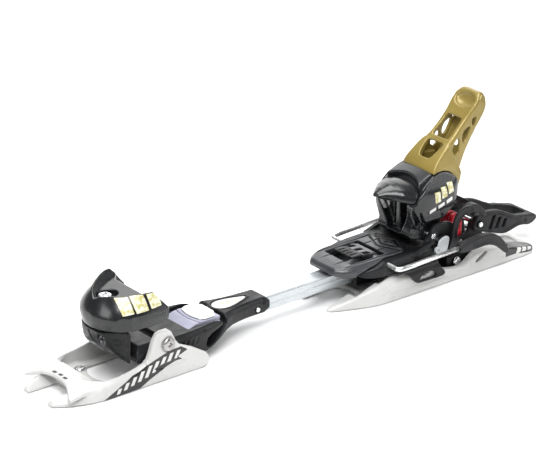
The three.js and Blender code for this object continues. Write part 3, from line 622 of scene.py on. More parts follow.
# ---------------------------------------------------------------- toe unit
def toe_shell():
    f = Field((163.5, -36.8, 49.6), (225.2, 36.8, 82), FINE)
    low = smooth(mirrored([(225.0, 0), (223.6, 10), (219.4, 19.4), (213.4, 26.8), (205, 31.6), (195, 34.4),
                           (184, 35.8), (160, 36.2)]), 2)
    high = smooth(mirrored([(216.6, 0), (215.4, 7), (211.4, 14), (205.6, 19.8), (199.4, 24.6),
                            (192.6, 28.6), (185, 31.6), (160, 33.4)]), 2)
    t = np.clip((f.z - 60) / 16, 0, 1.6) ** 1.45
    shell = polygon(f.x, f.y, low) * (1 - t) + polygon(f.x, f.y, high) * t
    shell = shell * 0.86 + np.clip(57 - f.z, 0, 10) * 0.16
    side = [(169, 45), (230, 45), (230, 88), (183.0, 88), (181.8, 81.0), (177.0, 74.4), (171.4, 67.6),
            (166.6, 62.4), (164.6, 57), (165.6, 50)]
    shell = both(shell, f.poly("y", side), 1.0)
    # Lens-shaped top face between the wings, each wing rising outwards to a ridge.
    flat = curve(f.x, [160, 182, 190, 199, 206, 211, 215], [21.5, 21.0, 18.0, 13.0, 8.4, 4.4, 0.5])
    top = 73.0 + 0.045 * (212 - f.x) + np.clip(np.abs(f.y) - flat, 0, 30) * 0.56
    shell = both(shell, (f.z - top) * 0.86, 0.7)
    gap = f.poly("z", mirrored([(182.6, 0), (182.6, 20.6), (178, 24.6), (170, 27.2), (155, 29.6)]))
    shell = less(shell, both(gap, 52 - f.z, 1), 1.4)
    cavity = both(f.poly("z", smooth(mirrored([(206, 0), (204.6, 13), (198, 23.5), (186, 29.8),
                                               (160, 31.4)]), 1)), f.z - 61.5, 2.5)
    shell = less(shell, cavity, 1.2)
    # A lower band under each wing, set in from the panel above it.
    line = 61.4 + np.clip(f.x - 178, 0, 60) * 0.012
    inward = 31.6 - np.abs(f.y) + np.clip(f.x - 196, 0, 30) * 0.02 - np.clip(f.x - 204, 0, 40) * 0.62
    band = both(both(f.z - line, inward, 0.6), f.x - 213.4, 1.2)
    shell = less(shell, both(band, -shell - 1.5), 0.8)
    # Deep round screw recess in the sloping top.
    bowl = np.sqrt(((f.x - 204.6) / 1.12) ** 2 + f.y ** 2) - 8.3
    shell = less(shell, both(bowl, 68.9 - f.z, 0.8), 0.7)
    shell = less(shell, f.rod("z", POST, 3.3, 40, 90), 0.3)
    shell = less(shell, f.rod("z", POST, 5.4, 40, 60), 0.4)
    shell = both(shell, 49.75 - f.z, 0.8)
    shell = both(shell, f.x - 224.4, 0.5)

    def marks(p):
        x, y, z = p[:, 0], np.abs(p[:, 1]), p[:, 2]
        blocks = np.full(len(p), FAR)
        glow = np.full(len(p), FAR)
        # Three outlined blocks along the wing, laid out by arc length round the bow.
        along = np.where(x > 199, 199 + (x - 199) * 1.25 + (34 - y) * 0.15, x)
        for x0, x1, z0, z1 in ((214, 201.6, 64.2, 77.4), (199.4, 188.2, 65.0, 79.6),
                               (186.0, 175.8, 66.4, 80.8)):
            slant = along - 0.16 * (z - 72)
            outer = polygon(slant, z, [(x0, z0), (x1, z0 + 1.0), (x1, z1), (x0, z1 - 0.6)])
            blocks = np.minimum(blocks, outer)
            glow = np.minimum(glow, outer - 0.9)
        ridge = z - (73.0 + 0.045 * (212 - x) + np.clip(y - np.interp(x, [182, 190, 199, 206, 211],
                                                                      [21, 18, 13, 8.4, 4.4]), 0,
                                                        30) * 0.56) + 1.0
        outer_only = np.maximum(ridge, np.interp(x, [170, 185, 192.6, 199.4, 205.6, 211.4, 216],
                                                 [30.4, 28.8, 25.8, 21.8, 17, 11.2, 4]) - y)
        return {"ink_gold": np.maximum(blocks, outer_only), "ink_dark": np.maximum(glow, outer_only)}

    solid("toe_shell_body", f, shell, GLOSS, "toe_wings", "toe_shell", marks)


def toe_housing():
    f = Field((198, -30, 17), (222.5, 30, 49.6), FINE)
    plan = smooth(mirrored([(222.4, 0), (221.8, 9), (219.0, 17.5), (213.4, 24.6), (205, 29.0),
                            (198.2, 29.8)]), 1)
    side = smooth([(198.3, 19.0), (200.5, 17.6), (207, 22.6), (214, 30.2), (219.6, 39), (222.4, 49.4),
                   (198.3, 49.4)], 1)
    taper = f.poly("z", plan) * 0.97 + np.clip(47 - f.z, 0, 40) * 0.07
    body = both(both(taper, f.poly("y", side), 1.6), f.z - 49.35, 0.7)
    body = both(body, 198.3 - f.x, 0.8)
    for s in (1, -1):
        # Notch at the rear corner and a seam that parts the chin facet from the flanks.
        slot = f.block((197, s * 28 - 4.2, 19), (202.4, s * 28 + 4.2, 60), 1)
        body = less(body, slot, 0.7)
        rib = both(np.abs(f.x - 205.0) - 0.5, np.abs(f.y - s * 28) - 6)
        body = less(body, both(rib, -body - 0.7), 0.4)
        path = [(222.0, s * 6.5, 48.8), (220.6, s * 14, 45.4), (217, s * 18.6, 38), (213, s * 21.8, 31),
                (206.6, s * 26.4, 24.4)]
        for start, end in zip(path, path[1:]):
            body = less(body, f.pill(start, end, 0.75), 0.5)
        body = less(body, both(np.abs(np.sqrt((f.y - s * 23.2) ** 2 + (f.z - 40.6) ** 2) - 2.3) - 0.35,
                               both(-body - 0.5, 205 - f.x)), 0.3)
    body = less(body, both(both(np.abs(f.y) - 5.2, np.abs(f.z - 39.5) - 6.2, 1.5),
                           both(-body - 0.7, 205 - f.x)), 0.5)
    body = less(body, f.rod("z", POST, 5.3, 32.6, 60), 0.3)
    body = less(body, f.rod("x", (10.2, 40), 5.0, 213, 240), 0.6)
    body = less(body, f.rod("x", (10.2, 40), 4.4, 199, 240), 0.3)
    u, w = f.turned((207.4, 24.4), 45)
    window = both(both(np.abs(u) - 7.3, np.abs(f.y + 13.5) - 7.8, 1.5), np.abs(w + 2.1) - 3.9)
    body = less(body, window, 0.5)
    solid("toe_housing_body", f, body, MATTE, "frame", "toe_housing")
    g = Field((199, -22, 16), (216, -5, 33), 0.5, symmetric=False)
    u, w = g.turned((207.4, 24.4), 45)
    pane = both(both(np.abs(u) - 6.9, np.abs(g.y + 13.5) - 6.6, 1.6), np.abs(w - 0.7 + 1.4) - 0.8, 0.5)

    def marks(p):
        along = ((p[:, 0] - 207.4) + (p[:, 2] - 24.4)) * 0.7071
        line = np.full(len(p), FAR)
        for i in range(5):
            tick = np.maximum(np.abs(along - (i - 2) * 2.4) - 0.25,
                              np.abs(p[:, 1] + 16) - (2.6 if i % 2 == 0 else 1.6))
            line = np.minimum(line, tick)
        return {"ink_black": line}

    solid("scale_window_pane", g, pane, SMOKE, "frame", "scale_window", marks)
# ---------------------------------------------------------------- carrier, bar and sole slide
def carrier():
    f = Field((43, -31, 5), (199, 31, 50))
    side = smooth([(44, 15.6), (44, 29.4), (60, 30), (118, 30.6), (148, 31), (159, 32.4), (165, 37),
                   (170, 43.6), (182, 46.4), (198, 49.4), (198, 34), (198, 19), (190, 17), (180, 15.5),
                   (158, 12), (136, 9), (126, 7.4), (118, 9), (106, 12.6), (94, 17), (70, 16.4)], 1)
    plan = smooth(mirrored([(198, 30.2), (198, 30.2), (150, 30.6), (134, 29.4), (122, 27.8), (110, 25),
                            (98, 20.6), (86, 16), (72, 13.4), (56, 12.3), (44, 12.1), (44, 12.1)]), 1)
    hull = f.poly("z", plan)
    body = both(f.poly("y", side), hull, 2.2)
    body = both(body, f.x - 198, 0.6)
    # The long bevel that narrows the top towards the bar.
    body = both(body, (hull + (f.z - 27.0) * 0.9) * 0.74, 1.2)
    pocket = f.block((97.4, -21.6, 22.9), (138.6, 21.6, 60), 2.0)
    body = less(body, pocket, 1.4)
    body = less(body, f.block((139, -25.6, 32.3), (202, 25.6, 60), 2.0), 1.2)
    inset = both(both(hull + 4.2, 30.1 - f.z), both(f.x - 164, 99 - f.x), 0.8)
    body = less(body, inset, 0.8)
    # Badge seat with a raised rim, pointed towards the toe.
    rim = f.poly("z", badge(2.4))
    raised = both(both(rim, f.z - 30.9), 24 - f.z, 0.6)
    body = either(body, raised, 1.2)
    body = less(body, both(f.poly("z", badge(0.35)), 29.2 - f.z), 0.3)
    for s in (1, -1):
        gusset = smooth([(97.5, 22.4), (101.5, 24.4), (122.6, 21.4), (125.4, 12.4), (120.6, 10.9),
                         (113, 12.8)], 1)
        body = less(body, f.prism("y", gusset, s * 23.5 - 9.5, s * 23.5 + 9.5, 0.6), 0.7)
        # Vent grooves ahead of the gusset.
        for i in range(4):
            x = 133 + i * 5.4
            vent = [(x, 24.8), (x + 2.6, 24.8), (x + 4.4, 19.6), (x + 1.8, 19.6)]
            body = less(body, f.prism("y", vent, s * 31.2 - 2.2, s * 31.2 + 2.2), 0.6)
        crease = np.abs(f.z - 27.4 + np.clip(f.x - 128, 0, 60) * 0.03) - 0.45
        body = less(body, both(both(crease, -hull - 1.0), both(f.x - 156, 126 - f.x)), 0.5)
        slot = f.block((50.2, s * 14 - 3.2, 24), (53.0, s * 14 + 3.2, 28.4), 0.6)
        body = less(body, slot, 0.5)
    relief = f.prism("y", [(130, -5), (196, -5), (196, 13.8), (180, 11.8), (140, 6), (130, 6)], -40, 40)
    body = less(body, relief, 0.6)
    body = less(body, f.block((41, -8.8, 14.3), (66.3, 8.8, 28.0), 0.5), 0.7)
    body = less(body, f.rod("y", BAR_PIN, 2.5, -20, 20), 0.5)
    for s in (1, -1):
        body = less(body, f.rod("y", BAR_PIN, 3.9, s * 13.2 - 1.0, s * 13.2 + 1.0), 0.4)
    body = less(body, f.rod("y", PIVOT, 4.05, -40, 40), 0.4)
    solid("carrier_body", f, body, MATTE, "frame", "carrier_frame")


def badge(grow):
    """The badge's outline, a rounded triangle, grown by a rim."""
    return smooth(mirrored([(97 + grow * 1.2, 0), (95 + grow, 5.4 + grow), (89, 8.4 + grow),
                            (81, 7.6 + grow), (72, 5.0 + grow), (65.5, 2.6 + grow), (61 - grow * 1.6, 0)]),
                  2)


def badge_plate():
    f = Field((59, -10, 28), (98, 10, 31), 0.4)
    shape = f.poly("z", badge(0.0))
    plate = both(both(shape, f.z - 30.35, 0.4), 29.4 - f.z)
    plate = less(plate, both(np.abs(shape + 1.5) - 0.3, 30.0 - f.z), 0.25)

    def marks(p):
        edge = polygon(p[:, 0], p[:, 1], badge(0.0))
        panel = polygon(p[:, 0], p[:, 1], [(91, -3.4), (91, 3.4), (70, 5.0), (70, -5.0)])
        gold = np.full(len(p), FAR)
        dark = np.full(len(p), FAR)
        for i in range(3):
            x = 87 - i * 5.6
            block = polygon(p[:, 0] + p[:, 1] * 0.3, p[:, 1], [(x, -3.3), (x - 4.6, -3.3), (x - 4.6, 3.3),
                                                               (x, 3.3)])
            gold = np.minimum(gold, block)
            dark = np.minimum(dark, np.abs(block - 0.5) - 0.35)
        dark = np.maximum(np.maximum(dark, edge + 1.9), panel - 1)
        return {"ink_gold": np.maximum(gold, edge + 1.9), "ink_dark": dark}

    solid("badge_face", f, plate, BADGE, "frame", "badge_plate", marks)


def bar():
    f = Field((-158, -8.5, 14.6), (66, 8.5, 27.7), 0.6)
    section = both(np.abs(f.y) - 8.5, np.abs(f.z - 21.15) - 6.55, 1.5)
    hollow = both(np.abs(f.y) - 6.5, np.abs(f.z - 21.15) - 4.55, 1.0)
    body = both(section, np.abs(f.x + 46) - 112, 0.6)
    body = less(body, hollow, 0.4)
    body = less(body, f.rod("y", BAR_PIN, 2.5, -20, 20), 0.3)
    for s in (1, -1):
        channel = both(np.abs(f.z - 21.15) - 0.6, np.abs(f.y - s * 8.7) - 0.55)
        body = less(body, channel, 0.5)
    solid("bar_body", f, body, ALLOY, "frame", "bar")


def slide():
    f = Field((101, -16.5, 23), (136, 16.5, 31.9), 0.45)
    side = [(101, 23.5), (101, 29.9), (118, 29.9), (122, 30.2), (127.5, 29.4), (136, 26.6), (136, 23.5)]
    body = both(f.poly("y", side), np.abs(f.y) - 16.5, 1.2)
    body = both(body, both(f.x - 136, 101 - f.x), 1.0)
    ramp_line = f.x - (123.0 + 2.4 * (1 - (f.y / 16.5) ** 2))
    body = less(body, both(np.abs(ramp_line) - 0.3, 28 - f.z), 0.4)
    for s in (1, -1):
        body = less(body, f.block((100, s * 16.6 - 1.0, 25.4), (132, s * 16.6 + 1.0, 27.0), 0.3), 0.4)
    # Socket under the plate so that the two never touch.
    plate_plan = smooth(mirrored([(101.8, -15.6), (119.8, -15.6), (122.4, -6), (122.8, 0)]), 1)
    body = less(body, both(f.poly("z", plate_plan) - 0.3, 29.9 - f.z), 0.2)
    solid("slide_wedge", f, body, GREY, "sole_slide", "slide_block")
    g = Field((101, -16.5, 29.5), (124, 16.5, 32), 0.4)
    arc = 31.75 - 0.0022 * g.y ** 2 - 0.012 * np.clip(g.x - 114, 0, 20) ** 2
    plate = both(both(g.poly("z", plate_plan), g.z - arc, 0.7), 30.2 - g.z)
    stamp = np.maximum(np.abs(g.x - 106), np.abs(g.y - 10.5)) - 1.6
    plate = less(plate, both(np.abs(stamp) - 0.3, 31.1 - g.z), 0.25)
    plate = less(plate, both(stamp + 0.9, 31.2 - g.z), 0.2)
    solid("slide_sheet", g, plate, PLATE, "sole_slide", "slide_plate")


# ---------------------------------------------------------------- screws and pins
def ski_screw(name, place):
    """A pan-headed screw, cut off at the ski's surface; each stands at its own turn."""
    length = place[2] - 0.2
    profile = [(0, -length), (2.1, -length), (2.6, -length + 0.8), (2.6, 0), (4.3, 0), (4.6, 0.4),
               (4.5, 1.5), (3.9, 2.1), (2.4, 2.4), (0, 2.4)]
    hardware(name + "_body", profile, place, STEEL, "ski_base", name, recess=("cross", 2.6, 1.6), step=0.25,
             turn=place[0] * 7 % 90)


def pin(name, radius, half, chamfer, centre, body, step):
    """A plain pin along Y with chamfered ends."""
    profile = [(0, -half), (radius - chamfer, -half), (radius, chamfer - half), (radius, half - chamfer),
               (radius - chamfer, half), (0, half)]
    hardware(name + "_body", profile, at(centre, 0), STEEL, body, name, axis=(0, 1, 0), step=step)


def fittings():
    for i in range(4):
        ski_screw(f"front_screw_{i + 1}", FRONT_SCREWS[i])
        ski_screw(f"rear_screw_{i + 1}", REAR_SCREWS[i])
    for side, s in SIDES:
        hardware(f"pivot_bolt_{side}_body", [(0, 0), (3.4, 0), (3.7, 0.5), (3.7, 7.5), (5.7, 7.6),
                                             (6.0, 8.0), (5.9, 8.5), (5.2, 9.3), (3.8, 10.0), (0, 10.3)],
                 at(PIVOT, s * 30.1), WORN_DARK_REFLECTION, "ski_base", f"pivot_bolt_{side}", axis=(0, s, 0),
                 recess=("lobes", 2.5, 2.0), step=0.25)
        hardware(f"bracket_screw_{side}_body", [(0, 0), (2.1, 0), (2.1, 6), (4.2, 6), (4.4, 6.3),
                                                (4.3, 7.2), (3.4, 8.1), (2, 8.4), (0, 8.4)],
                 at(BRACKET_SCREW, s * 22.4), STEEL, "ski_base", f"bracket_screw_{side}", axis=(0, s, 0),
                 recess=("cross", 2.4, 1.6), step=0.25, turn=20)
        hardware(f"rail_pin_{side}_body", [(0, 0), (2.7, 0), (3.0, 0.3), (3.0, 2.5), (2.5, 2.9), (1.6, 3.0),
                                           (0, 3.0)], (-124, s * 34.3, 34), PALE, "heel_unit",
                 f"rail_pin_{side}", axis=(0, s, 0), recess=("hex", 1.3, 1.0), step=0.2)
    pin("bar_pin", 2.2, 13.4, 0.5, BAR_PIN, "frame", 0.25)
    pin("claw_pin", 2.2, 13, 0.4, CLAW_PIN, "ski_base", 0.3)
    pin("lock_lever_pin", 2.5, 22, 0.5, LEVER_PIN, "ski_base", 0.3)
    pin("heel_axle", 3.0, 31, 0.6, AXLE, "heel_unit", 0.35)
    pin("heel_lever_pin", 2.6, 19.6, 0.5, HUB, "cup", 0.3)
    hardware("length_screw_body", [(0, -62)] + [(2.55 if i % 2 else 2.05,
                                                 -62 + i * 0.8) for i in range(74)] + [(2.5, -2), (2.5, 0),
                                                                                       (0, 0)],
             (-152, 0, 21), ZINC, "heel_unit", "length_screw", axis=(-1, 0, 0), recess=("cross", 1.7, 1.5),
             step=0.3)
    hardware("heel_screw_body", [(0, 0), (6.4, 0), (6.8, 0.4), (6.8, 3.0), (6.3, 3.5), (0, 3.6)],
             (-143.2, 0, 62), STEEL, "cup", "heel_screw", axis=(-1, 0, 0), recess=("cross", 3.8, 2.2),
             step=0.3, turn=30)
    hardware("toe_height_screw_body", [(0, 60.5), (3, 60.5), (3, 70.3), (5.7, 70.3), (6.0, 70.6),
                                       (6.0, 72.6), (5.4, 73.5), (4.0, 74.0), (0, 74.0)], (207, 0, 0),
             STEEL, "toe_wings", "toe_height_screw", recess=("cross", 4.3, 2.2), step=0.3, turn=28)
    hardware("release_screw_body", [(0, 214.3), (5.4, 214.3), (5.8, 214.7), (5.8, 216.6), (5.2, 217.4),
                                    (4.0, 217.6), (0, 217.6)], (0, 10.2, 40), SPRING, "frame",
             "release_screw", axis=(1, 0, 0), recess=("cross", 4.0, 1.9), step=0.3, turn=15)
    hardware("release_post_body", [(0, 33), (4.6, 33), (5, 33.4), (5, 58.4), (4, 59.5), (0, 59.5)],
             (207, 0, 0), STEEL, "frame", "release_post", step=0.4)
    coil("release_spring_coil", (206.55, 10.2, 40), 3.3, 0.72, 13.0, 6, "frame", "release_spring")
    coil("heel_spring_coil", (-131.4, 0, 62), 5.9, 0.85, 22.6, 9, "cup", "heel_spring")


def coil(name, centre, radius, wire, length, turns, body, replaced):
    """Compression spring along X."""
    n = turns * 28
    path = []
    for i in range(n + 1):
        t = i / n
        a = 2 * math.pi * turns * t
        path.append((centre[0] + (t - 0.5) * (length - 2 * wire), centre[1] + radius * math.cos(a),
                     centre[2] + radius * math.sin(a)))
    tube(name, path, wire, SPRING, body, replaced, sides=10)


# ---------------------------------------------------------------- rear base and lock bracket
def rear_base():
    f = Field((-245, -37.2, 0), (-12.6, 37.2, 27))
    side = smooth([(-12, -3), (-13, 1.6), (-22, 5.0), (-34, 9.6), (-48, 14.6), (-60, 18.8), (-70, 21.6),
                   (-80, 21.8), (-88, 20.2), (-97, 17.4), (-106, 14.6), (-112, 15.6), (-116, 20.0),
                   (-118.6, 22.9), (-121.6, 22.9), (-125, 20.4), (-130.5, 14.6), (-138, 12.6), (-147, 11.0),
                   (-154, 11.4), (-161, 15.8), (-168, 20.4), (-178, 22.8), (-190, 21.6), (-200, 17.0),
                   (-210, 12.2), (-226, 8.4), (-243.6, 5.8), (-244.2, 3), (-238, -3)], 1)
    plan = smooth(mirrored([(-12.9, 16.6), (-13.2, 19.4), (-22, 23.8), (-34, 28.6), (-46, 33.2),
                            (-56, 36.2), (-66, BASE_HALF), (-80, BASE_HALF), (-150, BASE_HALF),
                            (-220, BASE_HALF), (-234, 36.8), (-241, 34.6), (-244, 30.4), (-244.4, 24)]), 1)
    hull = f.poly("z", plan)
    body = both(f.poly("y", side), hull, 3.0)
    body = both(body, (hull + (f.z - 17.5) * 0.8) * 0.78, 1.5)
    body = less(body, f.block((-204, -31, 4.2), (-60, 31, 60), 2.0), 1.4)
    body = less(body, f.block((-61.5, -27, 4.2), (-38, 27, 60), 2.0), 1.4)
    gap = smooth(mirrored([(-2, 14.2), (-16, 14.9), (-34, 16.9), (-46, 17.6), (-53, 13), (-55.5, 6)]), 1)
    notch = both(f.prism("z", gap, -3, 60), f.x - 10)
    body = less(body, notch, 1.6)
    for s in (1, -1):
        window = smooth([(-167.6, 10.2), (-172.6, 10.0), (-184.2, 16.8), (-180.0, 17.8), (-172.6, 14.2)], 1)
        body = less(body, f.prism("y", window, s * 34.6 - 5.6, s * 34.6 + 5.6, 0.4), 0.9)
        for z0, z1, x0, x1, deep in ((3.0, 3.9, -150, -44, 0.8), (6.4, 7.6, -150, -70, 0.9),
                                     (8.9, 9.6, -146, -86, 0.6)):
            groove = f.block((x0, s * 37.4 - deep, z0), (x1, s * 37.4 + deep, z1), 0.4)
            body = less(body, groove, 0.5)
        scoop = f.prism("y", smooth([(-196, 13.6), (-206, 10.2), (-232, 6.6), (-232, 4.0), (-200, 5.0)], 1),
                        s * 37.6 - 1.0, s * 37.6 + 1.0, 0.5)
        body = less(body, scoop, 0.7)
    for x, y, seat in REAR_SCREWS:
        body = less(body, f.rod("z", (x, y), 2.9, -5, 40), 0.3)
        body = less(body, f.rod("z", (x, y), 5.1, seat - 0.3, 40, 0.4), 0.7)
    # Weight-saving pockets in the tail.
    for y in (-11, 11):
        pocket = f.block((-236, y - 7.5, 5.0), (-222, y + 7.5, 40), 1.5)
        body = less(body, pocket, 1.0)
    body = both(body, -f.z, 0.8)
    body = both(body, f.x + 13.05, 0.6)
    body = both(body, -244 - f.x, 0.6)

    def marks(p):
        x, y, z = p[:, 0], p[:, 1], p[:, 2]
        cap = polygon(x, np.abs(y), [(-205, 30), (-208, 25), (-216, 20), (-226, 14.2), (-233, 20),
                                     (-240.8, 27.7), (-246, 40), (-205, 40)])
        tail = polygon(x, z, [(-204, 12.4), (-211, 13.6), (-226, 10), (-246, 8), (-246, 2.4), (-238, 2.0),
                              (-222, 4.2)])
        flank = np.abs(np.abs(y) - 36.4) - 2.0
        black = np.minimum(np.maximum(cap, 5.0 - z), np.maximum(tail, flank))
        blocks = np.full(len(p), FAR)
        for i in range(3):
            u = x + 0.55 * (z - 8)
            x0 = -219 - i * 7.2
            outer = polygon(u, z, [(x0, 5.2 - i * 0.3), (x0 - 5.6, 4.9 - i * 0.3),
                                   (x0 - 5.6, 9.9 - i * 0.9), (x0, 10.6 - i * 0.9)])
            blocks = np.minimum(blocks, outer)
        return {"ink_black": black, "ink_white": np.maximum(blocks, flank)}

    solid("rear_base_body", f, body, WHITE, "ski_base", "rear_base", marks)


def lock_bracket():
    f = Field((-200, -28, 4.3), (-142, 28, 40.2), 0.6)
    low = f.prism("x", [(-28, 4.5), (28, 4.5), (28, 18), (25, 19), (14, 19), (12, 17.4), (12, 12),
                        (-12, 12), (-12, 17.4), (-14, 19), (-25, 19), (-28, 18)], -168, -142, 1.0)
    cheek = smooth([(-150, 4.5), (-150, 9), (-157, 11.5), (-164, 14), (-168, 26), (-176, 27.4),
                    (-180.6, 29), (-182.4, 39), (-188, 40.4), (-193.6, 39), (-197, 28), (-200, 4.5)], 1)
    cheeks = f.prism("y", cheek, 10.0, 13.5, 0.8)
    cheeks = np.minimum(cheeks, f.prism("y", cheek, -13.5, -10.0, 0.8))
    body = either(either(low, cheeks, 1.5), f.block((-199, -11, 4.5), (-178, 11, 9), 0.8), 1.5)
    body = less(body, f.rod("y", CLAW_PIN, 2.5, -20, 20), 0.4)
    body = less(body, f.rod("y", LEVER_PIN, 2.8, -20, 20), 0.4)
    for s in (1, -1):
        body = less(body, f.rod("y", BRACKET_SCREW, 2.4, s * 25 - 5, s * 25 + 5), 0.3)
        body = less(body, f.rod("y", BRACKET_SCREW, 5.2, s * 28.6 - 1.2, s * 28.6 + 1.2), 0.4)
        body = less(body, f.block((-166, s * 20 - 4.5, 14), (-158, s * 20 + 4.5, 24), 1), 0.7)
    solid("lock_bracket_body", f, both(body, 4.5 - f.z), MATTE, "ski_base", "lock_bracket")


def lock_parts():
    f = Field((-178, -9.7, 16.5), (-154.5, 9.7, 48), 0.5)
    side = smooth([(-155, 28.5), (-155, 31.2), (-162, 34.2), (-163.4, 40), (-164.4, 45.8), (-168, 47.8),
                   (-172.6, 47.6), (-176.6, 42), (-176.8, 33), (-175.8, 23), (-172, 17), (-168.2, 18.2),
                   (-163, 22), (-160.6, 26), (-160.6, 28.2)], 1)
    body = both(f.poly("y", side), np.abs(f.y) - 9.6, 1.6)
    for y in (-3.4, 3.4):
        body = less(body, f.prism("y", [(-158, 33), (-158, 52), (-169, 52), (-169, 37)], y - 1.1, y + 1.1),
                    0.8)
    body = less(body, f.rod("y", (-170.2, 33.6), 3.4, 7.6, 12, 0.4), 0.6)
    body = less(body, f.rod("y", (-170.2, 33.6), 3.4, -12, -7.6, 0.4), 0.6)
    body = less(body, f.rod("y", CLAW_PIN, 2.5, -20, 20), 0.3)
    solid("lock_claw_body", f, body, RED, "claw", "lock_claw")

    g = Field((-262, -21.2, 16), (-180.8, 21.2, 46.0), 0.6)
    arm = smooth([(-181, 31), (-182.2, 38), (-184, 43.6), (-189, 45.6), (-199, 45.4), (-210, 43.8),
                  (-218, 40.2), (-228, 34.8), (-235, 31.6), (-239.4, 31.0), (-244, 29.8), (-251, 28.0),
                  (-258.6, 26.6), (-262.2, 24.0), (-262.0, 20.6), (-257, 18.2), (-250, 17.9),
                  (-243.6, 20.2), (-237.4, 21.6), (-228, 19.8), (-219, 18.4), (-209, 21.4), (-198, 25.4),
                  (-190, 27.6)], 1)
    profile = g.poly("y", arm)
    width = curve(g.x, [-262, -240, -225, -205, -190], [16.0, 20.0, 20.4, 20.2, 19.7])
    outer = both(profile, np.abs(g.y) - width, 1.6)
    inner_half = curve(g.x, [-256, -248, -236, -225, -180], [8.0, 11.0, 13.2, 14.3, 14.3])
    inner = both(both(np.abs(g.y) - inner_half, -254.5 - g.x, 3), g.x + 170, 0.5)
    lever = less(outer, inner, 1.2)
    # Flanks are pressed in, leaving a raised border and three slanting slots.
    for s in (1, -1):
        panel = both(profile + 3.0, np.abs(g.y - s * (width + 0.3)) - 1.3, 0.5)
        panel = both(panel, -246 - g.x, 0.5)
        lever = less(lever, panel, 0.6)
        for i in range(3):
            x, z = -199.5 - i * 7.8, 27.2 - i * 1.0
            slot = [(x, z), (x - 3.9, z), (x - 8.6 + i * 0.8, 39.4 - i * 3.4),
                    (x - 4.7 + i * 0.8, 39.4 - i * 3.4)]
            lever = less(lever, g.prism("y", slot, s * 18.6 - 2.6, s * 18.6 + 4), 0.5)
    lever = less(lever, g.rod("y", LEVER_PIN, 2.8, -30, 30), 0.4)
    for s in (1, -1):
        lever = less(lever, g.rod("y", LEVER_PIN, 4.6, s * 20.6 - 0.9, s * 20.6 + 1.5), 0.4)
    solid("lock_lever_body", g, lever, RUBBERY, "lock", "lock_lever")


# ---------------------------------------------------------------- heel unit
def heel_housing():
    f = Field((-150.2, -36.4, 11.4), (-43.6, 36.4, 53.4))
    side = smooth([(-44, 29.6), (-44.6, 26.4), (-47, 24.4), (-58, 23.8), (-90, 23.6), (-128, 23.6),
                   (-145, 23.6), (-147, 26), (-147, 31), (-144.4, 36.4), (-141, 36.8), (-70, 36.8),
                   (-60, 34.2), (-52, 32.2), (-44.5, 30.3)], 1)
    plan = smooth(mirrored([(-44, 23.4), (-50, 28.6), (-58, 32.4), (-66, 33.4), (-128, 34.1), (-136, 30.4),
                            (-142, 26.4), (-150, 24)]), 1)
    hull = f.poly("z", plan)
    body = both(f.poly("y", side), hull, 1.6)
    body = both(body, (hull + (f.z - 33.2) * 0.9) * 0.74, 0.8)
    skirt = f.block((-132, -13, 11.6), (-50, 13, 26), 0.8)
    body = either(body, skirt, 1.5)
    post = smooth([(-110, 30), (-113.4, 38), (-117.6, 43.6), (-121, 48), (-124, 52.4), (-129, 55.4),
                   (-137, 55.2), (-144, 53.4), (-148.4, 50.4), (-149.4, 42), (-148.8, 30)], 1)
    for s in (1, -1):
        body = either(body, f.prism("y", post, s * 27.6 - 1.9, s * 27.6 + 1.9, 0.8), 1.6)
        body = either(body, f.rod("y", AXLE, 4.8, s * 28.6 - 2.4, s * 28.6 + 2.4, 0.8), 0.8)
        # Side rail, rising to the rear, with a second rib below it.
        rail = [(-97.5, 33.0), (-97.5, 36.0), (-121.5, 43.4), (-123.5, 40.2)]
        body = either(body, f.prism("y", rail, s * 32.0 - 2.2, s * 32.0 + 2.2, 0.7), 0.8)
        slot = smooth([(-98, 27.0), (-97.6, 31.0), (-106, 33.4), (-122, 34.4), (-122, 30.0), (-108, 27.4)],
                      1)
        body = less(body, f.prism("y", slot, s * 34.4 - 2.4, s * 34.4 + 2.4, 0.4), 0.6)
        slab = smooth([(-124.6, 30), (-124.8, 40.8), (-130, 44.2), (-135.6, 44.6), (-138, 42), (-136.4, 34),
                       (-134.6, 29.4), (-128, 29.0)], 1)
        body = either(body, f.prism("y", slab, s * 33.2 - 2.9, s * 33.2 + 2.9, 0.9), 0.5)
        groove = f.block((-62, s * 34 - 1.0, 28.6), (-60, s * 34 + 1.0, 38), 0.3)
        body = less(body, groove, 0.4)
        seam = f.block((-120, s * 34.4 - 0.8, 26.1), (-64, s * 34.4 + 0.8, 26.7), 0.2)
        body = less(body, seam, 0.3)
    well = f.block((-78, -18.4, 27.7), (-42, 18.4, 60), 1.0)
    body = less(body, well, 0.8)
    for x in (-100.5, -106.0, -111.5):
        vee = both(np.abs(f.x - x - np.abs(f.y) * 0.5) - 1.1, 35.6 - f.z)
        body = less(body, both(vee, np.abs(f.y) - 21), 0.6)
    body = less(body, f.block((-160, -8.8, 14.3), (-30, 8.8, 28.0), 0.6), 0.6)
    body = less(body, f.rod("y", BRAKE_AXIS, 2.55, -50, 50), 0.3)
    body = less(body, f.rod("y", AXLE, 3.3, -50, 50), 0.3)
    # Room for the cup's foot between the posts.
    body = less(body, f.block((-140, -22.6, 36.4), (-108, 22.6, 60), 1.0), 0.8)

    def marks(p):
        slab = polygon(p[:, 0], p[:, 2], [(-124.3, 29.2), (-124.3, 41.2), (-130, 44.8), (-136, 45.2),
                                          (-138.6, 42), (-136.8, 34), (-135, 28.8)])
        return {"ink_light": np.maximum(slab, 34.5 - np.abs(p[:, 1]))}

    solid("heel_housing_body", f, body, MATTE, "heel_unit", "heel_housing", marks)


